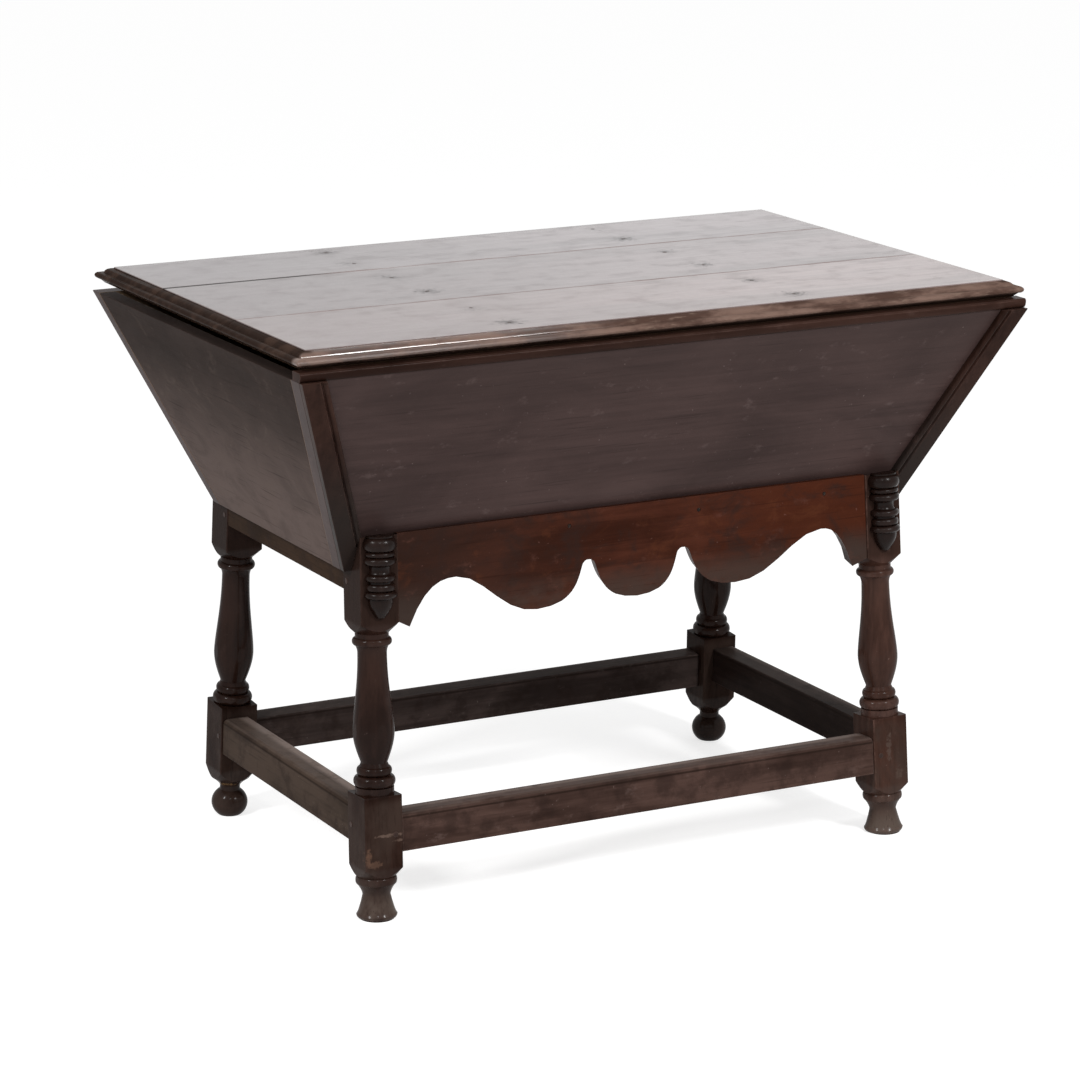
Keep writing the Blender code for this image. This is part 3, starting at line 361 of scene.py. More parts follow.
def pale_lid(name, colour, shift):
    """Bleached plank with long grey streaks, mottling, nail stains and dark joints that dull its sheen,
    painted shade towards its left end and a painted shadow along its opened joint.
    """
    finish = Finish(name + "_wood")
    x, y, _ = finish.axes()
    broad = finish.noise(finish.along("X", 5.0, shift), 9.0, 4.0, 0.6, 0.5)
    streak = finish.noise(finish.along("X", 30.0, shift), 85.0, 5.0, 0.62, 0.3)
    fibre = finish.noise(finish.along("X", 60.0, shift + 2.0), 380.0, 3.0, 0.55)
    scuffs = finish.noise(finish.along("X", 2.5, shift + 5.0), 30.0, 6.0, 0.65)
    tone = finish.ramp(broad * 0.6 + streak * 0.4, 0.37, 0.63)
    base = finish.mix(tone, lighter(colour, 0.76, 0.1), lighter(colour, 1.18, 0.1))
    # Painted shade: the plank darker towards its left end, standing in for the duller reflection there
    base = finish.mix(finish.ramp(x, 0.4, -0.5) * 0.9, base, lighter(colour, 0.56, 0.05))
    base = finish.mix(finish.ramp(fibre, 0.58, 0.74) * 0.38, base, lighter(colour, 0.45))
    row = abs(y - NAIL_ROWS[0])
    for level in NAIL_ROWS[1:]:
        row = row.math("MINIMUM", row, abs(y - level))
    column = abs(abs(x) - NAIL_COLUMN)
    nail = (column * column + row * row) ** 0.5
    blot = finish.noise(finish.along("X", 1.6, shift + 9.0), 150.0, 4.0, 0.6)
    strength = finish.ramp(finish.noise(finish.place(), 13.0, 1.0), 0.4, 0.58, 0.28, 0.9)
    marks = finish.ramp(nail, 0.04, 0.006) * finish.ramp(blot, 0.5, 0.6) * strength
    base = finish.mix(marks * 0.8, base, lighter(colour, 0.14, 0.2))
    smudge = finish.ramp(nail + 0.09 * (blot - 0.5), 0.004, 0.011, 1.0, 0.0) * strength
    base = finish.mix(smudge * 0.92, base, lighter(colour, 0.1, 0.2))
    mottle = finish.noise(finish.along("X", 1.6, shift + 4.0), 36.0, 5.0, 0.66)
    patch = finish.ramp(mottle, 0.47, 0.67)
    base = finish.mix(patch * 0.42, base, lighter(colour, 0.5))
    off = abs(y - JOINTS[0])
    off = off.math("MINIMUM", off, abs(y - JOINTS[1]))
    seams = finish.ramp(off + 0.005 * (blot - 0.5), 0.0014, 0.0056, 1.0, 0.0)
    seams = seams * finish.ramp(scuffs, 0.38, 0.6, 0.15, 0.85)
    base = finish.mix(seams, base, LID_SEAM)
    base = finish.mix(finish.worn() * 0.85, base, LID_RUBBED)
    # Painted shadow: a dark band along the first joint towards the left, where that joint has opened into a
    # step
    gap = finish.ramp(abs(y - JOINTS[0]), 0.0022, 0.0052, 1.0, 0.0) * finish.ramp(x, -0.32, -0.22, 1.0, 0.0)
    base = finish.mix(gap, base, LID_STEP_SHADOW)
    sheen = (1 - smudge * 0.7) * (1 - marks * 0.5) * (1 - gap) * (1 - patch * 0.21)
    sheen = sheen * finish.ramp(x, -0.55, 0.45, 0.83, 1.0)
    height = streak * 0.4 + fibre * -0.3 + scuffs * 0.3 - smudge * 0.6
    finish.shade(Base_Color=base, Roughness=0.36 + 0.2 * (scuffs - 0.5) - 0.06 * (streak - 0.5),
                 Coat_Weight=sheen * (1 - seams * 0.5), Normal=finish.bump(height, 0.22, 0.001),
                 Specular_IOR_Level=0.06, Coat_Roughness=0.22)
    return finish.owner


def lid_moulding(name, bare, shift):
    """Moulded edge of the lid: dark at the ends, browner along the front, worn in flecks to its right, with
    painted shade in the undercut below its nose.
    """
    finish = Finish(name + "_edge")
    x, y, z = finish.axes()
    scuffs = finish.noise(finish.along("X", 2.5, shift + 5.0), 30.0, 6.0, 0.65)
    flecks = finish.noise(finish.along("X", 4.0, shift), 160.0, 4.0, 0.6)
    right = finish.ramp(x, -0.24, -0.04)
    front = finish.mix(finish.ramp(scuffs, 0.42, 0.64), *NOSE_FRONT)
    front = finish.mix(finish.ramp(flecks, 0.56, 0.7) * right * 0.6, front, NOSE_FLECKS)
    ends = finish.mix(finish.ramp(scuffs, 0.42, 0.66), *NOSE_ENDS)
    end = finish.ramp(abs(x), 0.488, 0.497) * finish.ramp(y, -0.322, -0.312)
    base = finish.mix(end, front, ends)
    # Painted shade: the undercut below the nose darkened
    base = finish.mix(finish.ramp(z, 0.7455, 0.7395), base, NOSE_PAINTED_SHADE)
    base = finish.mix(finish.ramp(z, 0.7388, 0.7382), base, lighter(bare, 0.7))
    finish.shade(Base_Color=base, Roughness=0.24 + 0.18 * right + 0.16 * (scuffs - 0.5),
                 Coat_Weight=(1 - right) * (1 - end) * finish.ramp(scuffs, 0.62, 0.38, 0.45, 0.95),
                 Normal=finish.bump(scuffs * 0.5 + flecks * 0.5, 0.3, 0.001),
                 Specular_IOR_Level=0.004, Coat_Roughness=0.16)
    return finish.owner


def old_iron(name, colour):
    """Dark hammered iron with rust in its hollows."""
    finish = Finish(name)
    patches = finish.noise(finish.place(), 300.0, 4.0, 0.6)
    base = finish.mix(finish.ramp(patches, 0.48, 0.66), colour, RUST)
    finish.shade(Base_Color=base, Roughness=0.5 + 0.3 * (patches - 0.5),
                 Metallic=finish.ramp(patches, 0.7, 0.5), Normal=finish.bump(patches, 0.3, 0.0004))
    return finish.owner


def floor_finish(name, colour):
    """Matt pale floor, whiter to the camera and in gloss, so that it runs into the background."""
    finish = Finish(name)
    seen = finish.seen()
    fleck = finish.noise(finish.place(), 40.0, 2.0)
    base = finish.mix(fleck * 0.04, colour, lighter(colour, 0.96))
    finish.shade(Base_Color=finish.mix(seen, base, lighter(colour, 0.5)), Roughness=0.9,
                 Emission_Color=finish.mix(seen, (0.0, 0.0, 0.0), (0.7, 0.7, 0.7)),
                 Emission_Strength=1.0, Specular_IOR_Level=0.0)
    return finish.owner


# Modelling

def alone(piece):
    """Leave only this piece selected and active."""
    bpy.ops.object.select_all(action="DESELECT")
    piece.select_set(True)
    bpy.context.view_layer.objects.active = piece


def edit(piece, mode="VERT"):
    alone(piece)
    bpy.ops.object.mode_set(mode="EDIT")
    bpy.ops.mesh.select_mode(type=mode)
    bpy.ops.mesh.select_all(action="SELECT")


def done():
    bpy.ops.object.mode_set(mode="OBJECT")


def close_up():
    """Turn all faces outwards and leave edit mode."""
    bpy.ops.mesh.select_all(action="SELECT")
    bpy.ops.mesh.normals_make_consistent(inside=False)
    done()


def edit_faces(piece, wanted):
    """Go into edit mode with only the faces selected that pass a test."""
    for part in (piece.data.vertices, piece.data.edges, piece.data.polygons):
        part.foreach_set("select", [False] * len(part))
    for face in piece.data.polygons:
        face.select = wanted(face)
    alone(piece)
    bpy.ops.object.mode_set(mode="EDIT")


def apply(piece, modifier):
    alone(piece)
    bpy.ops.object.modifier_apply(modifier=modifier.name)


def soften(piece, angle=32.0):
    """Smooth the rounded faces, and keep the large ones flat."""
    alone(piece)
    bpy.ops.object.shade_smooth_by_angle(angle=math.radians(angle))
    flat = piece.modifiers.new("flat", "WEIGHTED_NORMAL")
    flat.keep_sharp = True
    apply(piece, flat)


def mark_wear(piece, shares):
    """Keep how worn each face is as an attribute of the mesh."""
    wear = piece.data.attributes.get("wear") or piece.data.attributes.new("wear", "FLOAT", "FACE")
    wear.data.foreach_set("value", shares)


def settle(piece, material, slot, body, *nodes):
    """Give a finished piece its finish, and let it stand for its nodes."""
    piece.data.materials.clear()
    piece.data.materials.append(material)
    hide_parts(*nodes)
    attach(piece, body)


def merged_copy(node):
    """Copy of a node's solid, merged, with its flat faces in one piece."""
    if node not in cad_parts:
        raise RuntimeError("the frame has no node " + node)
    piece = bpy.data.objects.new(node + "_dressed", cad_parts[node].data.copy())
    bpy.context.scene.collection.objects.link(piece)
    piece.data.materials.clear()
    edit(piece)
    bpy.ops.mesh.customdata_custom_splitnormals_clear()
    bpy.ops.mesh.remove_doubles(threshold=0.00001)
    bpy.ops.mesh.dissolve_limited(angle_limit=math.radians(0.6))
    done()
    return piece


def ease_edges(piece, width, rounds=2):
    """Round the edges sharper than EASED_ANGLE and mark the rounded faces as worn."""
    for name in ("face", "edge"):
        piece.data.materials.append(bpy.data.materials.new(name))
    ease = piece.modifiers.new("ease", "BEVEL")
    ease.width = width
    ease.segments = rounds
    ease.limit_method = "ANGLE"
    ease.angle_limit = math.radians(EASED_ANGLE)
    ease.material = 1
    apply(piece, ease)
    mark_wear(piece, [float(face.material_index) for face in piece.data.polygons])
    piece.data.polygons.foreach_set("material_index", [0] * len(piece.data.polygons))


def eased_copy(node, width, rounds=2):
    piece = merged_copy(node)
    ease_edges(piece, width, rounds)
    soften(piece)
    return piece


def stack_rings(name, profile, steps):
    """Turn a profile of radius and height: a disc drawn upwards ring by ring."""
    radius, level = profile[0]
    bpy.ops.mesh.primitive_circle_add(vertices=steps, radius=radius, fill_type="NGON",
                                      location=(0, 0, level))
    piece = bpy.context.object
    piece.name = name
    bpy.ops.object.transform_apply(location=True)
    edit(piece, "FACE")
    for (low_radius, low), (high_radius, high) in zip(profile, profile[1:]):
        bpy.ops.mesh.extrude_region_move(TRANSFORM_OT_translate={"value": (0, 0, high - low)})
        share = high_radius / low_radius
        bpy.ops.transform.resize(value=(share, share, 1), center_override=(0, 0, high))
    close_up()
    return piece


def combine(piece, other, operation):
    step = piece.modifiers.new("combine", "BOOLEAN")
    step.object = other
    step.operation = operation
    step.solver = "EXACT"
    apply(piece, step)


def twin(piece, name):
    copy = piece.copy()
    copy.data = piece.data.copy()
    copy.name = name
    bpy.context.scene.collection.objects.link(copy)
    return copy


def stand(piece, location, rotation):
    """Put a piece in its place and keep the place in its mesh."""
    alone(piece)
    piece.location = location
    piece.rotation_euler = rotation
    bpy.ops.object.transform_apply(location=True, rotation=True, scale=True)


def box(name, low, high):
    """Cube brought to its two corners."""
    bpy.ops.mesh.primitive_cube_add(size=1.0, location=[(a + b) / 2 for a, b in zip(low, high)],
                                    scale=[b - a for a, b in zip(low, high)])
    piece = bpy.context.object
    piece.name = name
    bpy.ops.object.transform_apply(location=True, scale=True)
    return piece


# Profiles of the turnings, from the bottom upwards

def bead(level, height, edge, middle, count=10):
    points = []
    for index in range(count + 1):
        angle = math.pi * index / count
        radius = edge + (middle - edge) * math.sin(angle)
        points.append((radius, level + height * (1 - math.cos(angle)) / 2))
    return points


def between(start, end, blend, count):
    points = []
    for index in range(1, count + 1):
        share = index / count
        radius = start[0] + (end[0] - start[0]) * blend(share)
        points.append((radius, start[1] + (end[1] - start[1]) * share))
    return points


def sweep(start, end, power, count):
    return between(start, end, lambda share: share ** power, count)


def round_out(start, end, count=14):
    return between(start, end, lambda share: math.sin(math.pi / 2 * share), count)


def taper(start, end, count=18):
    return between(start, end, lambda share: (1 - math.cos(math.pi * share ** 0.75)) / 2, count)


def joined(points):
    profile = []
    for point in points:
        if not profile or math.dist(profile[-1], point) > 0.00002:
            profile.append(point)
    return profile


def shaft(plinth):
    level = LOWER_BLOCK_TOP + plinth
    points = [(0.025, LOWER_BLOCK_TOP), (0.025, level)]
    points += bead(level, 0.0145, 0.0215, 0.0268)
    points += bead(level + 0.0145, 0.0115, 0.019, 0.0226)
    neck = (0.017, level + 0.031)
    belly = (0.0268, neck[1] + 0.042)
    collar = UPPER_BLOCK_BOTTOM - 0.032
    vase_top = (0.0187, collar - 0.01)
    points += [neck] + round_out(neck, belly) + taper(belly, vase_top)
    points += sweep(vase_top, (0.0215, collar), 2.0, 5)
    points += bead(collar, 0.01, 0.0215, 0.0254)
    return points + [(0.0215, UPPER_BLOCK_BOTTOM - 0.016)]


def bell_foot():
    collar = FOOT_HEIGHT - 0.025
    neck = (0.018, collar - 0.014)
    points = [(0.0222, -FOOT_SPARE), (0.0225, 0.0), (0.0246, 0.0012), (0.0258, 0.0028), (0.0264, 0.005)]
    points += sweep((0.0264, 0.005), neck, 0.7, 10)
    points += sweep(neck, (0.0247, collar), 1.6, 8)
    return points + bead(collar, 0.01, 0.0247, 0.0267)


def ball_foot():
    flare_top = (0.0267, FOOT_HEIGHT - 0.015)
    neck_top = (0.0138, flare_top[1] - 0.0128)
    high = math.acos(0.0138 / 0.0248)
    half = (neck_top[1] - 0.006 + 0.005) / (1 + math.sin(high))
    centre = half - 0.005
    low = math.asin(-(centre + FOOT_SPARE) / half)
    points = []
    for index in range(23):
        angle = low + (high - low) * index / 22
        points.append((0.0248 * math.cos(angle), centre + half * math.sin(angle)))
    return points + [neck_top] + sweep(neck_top, flare_top, 1.4, 8)


def leg_profile(foot, plinth):
    corner = LEG_SQUARE / math.sqrt(2) + 0.0012
    blocks = [(corner, FOOT_HEIGHT), (corner, LOWER_BLOCK_TOP)]
    top = [(corner, UPPER_BLOCK_BOTTOM), (corner, LEG_TOP)]
    return joined(foot + blocks + shaft(plinth) + top)


def spindle_profile():
    lower = ((0.0095, 0.0218), (0.0095, 0.0195))
    upper = ((0.009, 0.0205), (0.0115, 0.0138), (0.0105, 0.0218), (0.007, 0.0205), (0.018, 0.0225))
    top = LEG_TOP + 0.002
    tip = (0.006, top - 0.0305 - sum(height for height, _ in lower + upper))
    drop = (0.0165, tip[1] + 0.0215)
    level = drop[1] + 0.0035
    points = [(0.002, tip[1] - 0.0004), (0.0045, tip[1] - 0.0002), tip] + round_out(tip, drop)
    for height, radius in lower:
        points += bead(level, height, 0.0165, radius)
        level += height
    points += [(0.015, level), (0.015, level + 0.003)]
    level += 0.003
    for height, radius in upper:
        points += bead(level, height, 0.0165, radius)
        level += height
    return joined(points + [(0.0185, level), (0.0185, top - 0.0006), (0.0179, top)])


def leg_place(along, depth):
    return Vector((along * LEG_X, depth * LEG_Y, 0)), Euler((depth * LEAN_Y, -along * LEAN_X, 0))


class DOUGHBIN_OT_legs(bpy.types.Operator):
    """Turn the four legs between their square blocks and seat them under the trough"""

    bl_idname = "doughbin.legs"
    bl_label = "Legs"

    def execute(self, context):
        sizes = context.scene.bin_sizes
        colours = context.scene.bin_colours
        seat = box("seat", (-1, -SEAT_HALF, SEAT_LEVEL), (1, SEAT_HALF, SEAT_LEVEL + SEAT_RISE))
        edit_faces(seat, lambda face: face.normal.z > 0.5)
        wider = 1 + SEAT_RISE * SPLAY / SEAT_HALF
        bpy.ops.transform.resize(value=(1, wider, 1), center_override=(0, 0, SEAT_LEVEL + SEAT_RISE))
        done()
        for depth, foot, plinth in (("front", bell_foot(), 0.009), ("back", ball_foot(), 0.0)):
            pattern = stack_rings("leg_" + depth, leg_profile(foot, plinth), sizes.turn_steps)
            square = self.square(sizes.leg_arris)
            combine(pattern, square, "INTERSECT")
            bpy.data.objects.remove(square)
            mark_wear(pattern, [self.wear_of(face) for face in pattern.data.polygons])
            for side, along in SIDES.items():
                name = f"leg_{depth}_{side}"
                leg = twin(pattern, name + "_turned")
                stand(leg, *leg_place(along, -1 if depth == "front" else 1))
                combine(leg, seat, "DIFFERENCE")
                edit(leg)
                bpy.ops.mesh.bisect(plane_co=(0, 0, 0), plane_no=(0, 0, 1), use_fill=True, clear_inner=True,
                                    threshold=0.000001)
                done()
                soften(leg, TURNED_ANGLE)
                shift = 1.7 * along + (3.0 if depth == "front" else 0.0)
                wood = old_wood(name, lighter(colours.dark, LEG_TONES[name]), "Z", contrast=1.1,
                                rough=0.27, gloss=0.01, shift=shift, stain=leg_stain(name))
                settle(leg, wood, "dark_wood", "base", name)
            bpy.data.objects.remove(pattern)
        bpy.data.objects.remove(seat)
        return {"FINISHED"}

    def square(self, arris):
        """Square prism with its four long corners rounded."""
        prism = box("square", (-LEG_HALF, -LEG_HALF, -0.01), (LEG_HALF, LEG_HALF, LEG_TOP + 0.01))
        edit(prism, "EDGE")
        bpy.ops.mesh.select_all(action="DESELECT")
        done()
        for edge in prism.data.edges:
            ends = [prism.data.vertices[index].co for index in edge.vertices]
            edge.select = abs(ends[0].z - ends[1].z) > 0.1
        bpy.ops.object.mode_set(mode="EDIT")
        bpy.ops.mesh.bevel(offset=arris, segments=3, affect="EDGES")
        done()
        return prism

    def wear_of(self, face):
        """Worn on the arrises of the blocks and on the fattest rings."""
        x, y, z = face.center
        if abs(abs(x) - abs(y)) < 0.0018 and max(abs(x), abs(y)) > LEG_HALF - 0.0015:
            return 1.0
        rings = (z - LOWER_BLOCK_TOP, UPPER_BLOCK_BOTTOM - z)
        turned = z < FOOT_HEIGHT - 0.012 or 0.004 < rings[0] < 0.028 or 0.016 < rings[1] < 0.036
        return 0.55 if turned and math.hypot(x, y) > WORN_LEG else 0.0


# Old marks on the legs: middle, half sizes and colour
LEG_MARKS = {
    "leg_front_left": (((-0.37, -0.262, 0.113), (0.019, 0.03, 0.0022), (0.115, 0.078, 0.062)),
                       ((-0.352, -0.262, 0.105), (0.013, 0.03, 0.0016), (0.1, 0.066, 0.052)),
                       ((-0.399, -0.262, 0.0865), (0.0046, 0.03, 0.011), (0.1, 0.054, 0.036)),
                       ((-0.392, -0.262, 0.0775), (0.01, 0.03, 0.0042), (0.078, 0.044, 0.031))),
    "leg_front_right": (((0.374, -0.262, 0.124), (0.004, 0.03, 0.02), (0.066, 0.046, 0.038)),
                        ((0.39, -0.262, 0.086), (0.006, 0.03, 0.008), (0.06, 0.041, 0.033))),
    "leg_back_left": (((-0.3935, 0.24, 0.047), (0.03, 0.03, 0.0028), (0.18, 0.105, 0.05)),),
}


def leg_stain(name):
    """Blocks and front feet greyer than the shafts, with the leg's own knocks and scratches."""
    def stain(finish, base):
        x, y, z = finish.axes()
        patch = finish.noise(finish.along("Z", 2.0, 5.0), 24.0, 4.0, 0.6)
        lower = finish.ramp(z, 0.165, 0.15) * finish.ramp(patch, 0.32, 0.66)
        base = finish.mix(lower * 0.75, base, LOWER_BLOCKS)
        base = finish.mix(finish.ramp(z, 0.372, 0.392) * 0.65, base, UPPER_BLOCKS)
        if "front" in name:
            foot = finish.ramp(z, 0.045, 0.01) * finish.ramp(patch, 0.3, 0.56)
            base = finish.mix(foot, base, FOOT_RUBBED)
        blocks = finish.ramp(z, 0.066, 0.072) * finish.ramp(z, 0.167, 0.161) + finish.ramp(z, 0.38, 0.388)
        finish.shade(Coat_Weight=0.13 * (1 - blocks), Coat_Roughness=0.15)
        chips = finish.noise(finish.place(), 210.0, 4.0, 0.65)
        for middle, size, colour in LEG_MARKS.get(name, ()):
            off = 0.0
            for place, centre, half in zip((x, y, z), middle, size):
                gap = (place - centre) * (1 / half)
                off = gap * gap + off
            base = finish.mix(finish.ramp(off + 6.0 * (chips - 0.5), 0.2, 1.4, 0.6, 0.0), base, colour)
        return base

    return stain


class DOUGHBIN_OT_spindles(bpy.types.Operator):
    """Turn the split spindles and set them on the front legs"""

    bl_idname = "doughbin.spindles"
    bl_label = "Split spindles"

    def execute(self, context):
        colours = context.scene.bin_colours
        pattern = stack_rings("spindle", spindle_profile(), context.scene.bin_sizes.turn_steps)
        edit(pattern)
        bpy.ops.mesh.bisect(plane_co=(0, 0, 0), plane_no=(0, 1, 0), use_fill=True, clear_outer=True)
        close_up()
        radii = [math.hypot(*face.center[:2]) for face in pattern.data.polygons]
        mark_wear(pattern, [0.6 if radius > WORN_SPINDLE else 0.0 for radius in radii])
        for side, along in SIDES.items():
            name = "split_spindle_" + side
            spindle = twin(pattern, name + "_turned")
            foot, lean = leg_place(along, -1)
            stand(spindle, foot + lean.to_matrix() @ Vector((0, -(LEG_HALF + FIT), 0)), lean)
            soften(spindle, TURNED_ANGLE)
            wood = old_wood(name, lighter(colours.dark, 0.3), "Z", contrast=0.8, rough=0.25,
                            gloss=0.1, shift=along * 2.3)
            settle(spindle, wood, "dark_wood", "base", name)
        bpy.data.objects.remove(pattern)
        return {"FINISHED"}


class DOUGHBIN_OT_bars(bpy.types.Operator):
    """Ease the stretchers and the side rails"""

    bl_idname = "doughbin.bars"
    bl_label = "Stretchers and rails"

    def execute(self, context):
        sizes = context.scene.bin_sizes
        for number, (name, colour) in enumerate(BAR_COLOURS.items()):
            bar = eased_copy(name, sizes.bar_edge, 3)
            axis = "X" if name.endswith(("front", "back")) else "Y"
            wood = old_wood(name, colour, axis, contrast=1.1, rough=0.36, gloss=0.006,
                            shift=1.3 * number, stain=bar_stain_and_highlight(name), rub=0.45)
            settle(bar, wood, "dark_wood", "base", name)
        return {"FINISHED"}


def bar_stain_and_highlight(name):
    """Top of a stretcher rubbed pale by feet and given a painted highlight along its far arris, over a dark
    line under its arris.
    """
    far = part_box(name)[1]
    top = far[2]
    across = 1 if name.endswith(("front", "back")) else 0

    def stain(finish, base):
        place = finish.axes()
        z = place[2]
        patch = finish.noise(finish.place(), 26.0, 5.0, 0.65)
        base = finish.mix(finish.ramp(patch, 0.46, 0.64) * 0.5, base, BAR_DARK)
        if name.startswith("stretcher"):
            # A dark line on the face just under the top arris
            line = finish.ramp(z, top - 0.0075, top - 0.006) * finish.ramp(z, top - 0.0035, top - 0.005)
            base = finish.mix(line * 0.7, base, BAR_UNDER_ARRIS)
            # Rubbed pale on top, and partly a painted highlight, strongest along the far arris
            worn = finish.ramp(z, top - 0.0028, top - 0.0008) * finish.ramp(patch, 0.26, 0.5)
            worn = worn * finish.ramp(place[across], far[across] - 0.018, far[across] - 0.007, 0.22, 1.0)
            share = 0.35 if name.endswith(("back", "right")) else 0.75
            base = finish.mix(worn * share, base, BAR_RUBBED_AND_HIGHLIGHT)
        return base

    return stain


class DOUGHBIN_OT_aprons(bpy.types.Operator):
    """Ease the scalloped front apron and the plain back one"""

    bl_idname = "doughbin.aprons"
    bl_label = "Aprons"

    def execute(self, context):
        sizes = context.scene.bin_sizes
        colours = context.scene.bin_colours
        front = merged_copy("apron_front")
        for middle, spans in zip(sizes.cusps, (LOBE_SPANS, LOBE_SPANS[::-1])):
            slot = self.slot(middle, sizes.cusp_gap, spans)
            combine(front, slot, "DIFFERENCE")
            bpy.data.objects.remove(slot)
        self.undercut(front, sizes.undercut)
        ease_edges(front, sizes.board_edge * 0.7)
        soften(front)
        wood = old_wood("apron_front", colours.red, "X", contrast=1.3, rough=0.36, gloss=0.03, shift=4.1,
                        stain=apron_stain, rub=0.4)
        settle(front, wood, "red_wood", "base", "apron_front")
        back = eased_copy("apron_back", sizes.board_edge)
        wood = old_wood("apron_back", colours.dark, "X", rough=0.46, gloss=0.04, shift=6.2)
        settle(back, wood, "dark_wood", "base", "apron_back")
        return {"FINISHED"}

    def slot(self, middle, width, spans):
        """Round-headed cutter that opens a cusp out into the lobes on both sides of it."""
        bpy.ops.mesh.primitive_plane_add(size=1.0)
        cutter = bpy.context.object
        edit(cutter, "FACE")
        low, high = self.edges(middle, width, spans, 0.0)
        bpy.ops.transform.resize(value=(high - low, 0.15, 1), center_override=(0, 0, 0))
        bpy.ops.transform.translate(value=((low + high) / 2, -0.225, CUSP_TOP))
        down = 0.0
        for share in CUSP_STEPS:
            new_low, new_high = self.edges(middle, width, spans, share)
            centre = (new_low + new_high) / 2
            step = ((new_low + new_high - low - high) / 2, 0, down - share * CUSP_DEPTH)
            bpy.ops.mesh.extrude_region_move(TRANSFORM_OT_translate={"value": step})
            wider = (new_high - new_low) / (high - low)
            down = share * CUSP_DEPTH
            bpy.ops.transform.resize(value=(wider, 1, 1), center_override=(centre, 0, CUSP_TOP - down))
            low, high = new_low, new_high
        close_up()
        return cutter

    def edges(self, middle, width, spans, share):
        """Left and right edge of a cusp at a share of its depth: a round head, then the lobes drawn in."""
        head = math.sqrt(1 - (1 - min(1.0, (share + 0.01) / 0.11)) ** 2)
        extra = width / 2 * (1 - share ** 2) + 1.5 * width * share * (1 - share) ** 2
        curve = 1 - math.sqrt(1 - share ** 2)
        return middle - spans[0] * curve - extra * head, middle + spans[1] * curve + extra * head

    def undercut(self, board, depth):
        """Slope the sawn edge, so that the board is a little smaller behind."""
        behind = set()
        for face in board.data.polygons:
            if face.normal.y > 0.9:
                behind.update(face.vertices)
        push = {}
        for face in board.data.polygons:
            x, _, z = face.center
            if abs(face.normal.y) < 0.2 and face.normal.z < 0.3 and abs(x) < 0.345 and z < 0.445:
                for index in behind.intersection(face.vertices):
                    push.setdefault(index, []).append(face.normal.copy())
        if not push:
            raise RuntimeError("the apron has no sawn edge")
        for index, normals in push.items():
            board.data.vertices[index].co -= sum(normals, Vector()).normalized() * depth


def apron_stain(finish, base):
    """Browner to the left, redder to the right, in patches, and grey-brown where the lobes are rubbed."""
    x, _, z = finish.axes()
    patch = finish.noise(finish.along("X", 1.6, 2.0), 14.0, 5.0, 0.62)
    blot = finish.noise(finish.along("X", 1.3, 6.0), 22.0, 6.0, 0.66, 0.5)
    base = finish.mix(finish.ramp(x, 0.02, 0.25) * 0.7, base, APRON_RIGHT)
    base = finish.mix(finish.ramp(x, -0.05, -0.3) * 0.8, base, APRON_LEFT)
    base = finish.mix(finish.ramp(blot, 0.46, 0.66) * 0.75, base, APRON_DARK)
    base = finish.mix(finish.ramp(blot, 0.44, 0.3) * 0.45, base, APRON_BRIGHT)
    lobes = finish.ramp(z, 0.428, 0.388) * finish.ramp(patch, 0.34, 0.56)
    base = finish.mix(lobes * 0.88, base, APRON_LOBES)
    tips = finish.ramp(abs(x), 0.29, 0.325) * finish.ramp(z, 0.44, 0.4)
    return finish.mix(tips * 0.7, base, APRON_TIPS)


class DOUGHBIN_OT_trough(bpy.types.Operator):
    """Ease the boards of the trough, dark outside and scrubbed inside"""

    bl_idname = "doughbin.trough"
    bl_label = "Trough boards"

    def execute(self, context):
        sizes = context.scene.bin_sizes
        colours = context.scene.bin_colours
        for name, colour, axis, sign, shift in (
                ("trough_front_board", colours.board, "X", -1, 0.6),
                ("trough_back_board", colours.board, "X", 1, 3.7),
                ("trough_end_left", colours.end, "Y", -1, 8.4),
                ("trough_end_right", colours.end, "Y", 1, 5.9)):
            across = 1 if "board" in name else 0
            board = eased_copy(name, sizes.board_edge)
            wood = old_wood(name, colour, axis, contrast=0.5, rough=0.44, gloss=0.06 if across else 0.004,
                            shift=shift, stain=board_stain_and_shade(across, sign, colours.bare), rub=0.2)
            settle(board, wood, "end_wood" if across == 0 else "board_wood", "base", name)
        for number, name in enumerate(("trough_bottom_front", "trough_bottom_back")):
            board = eased_copy(name, sizes.board_edge)
            wood = old_wood(name, colours.bare, "X", rough=0.62, gloss=0.3, shift=2.0 + number)
            settle(board, wood, "bare_wood", "base", name)
        return {"FINISHED"}


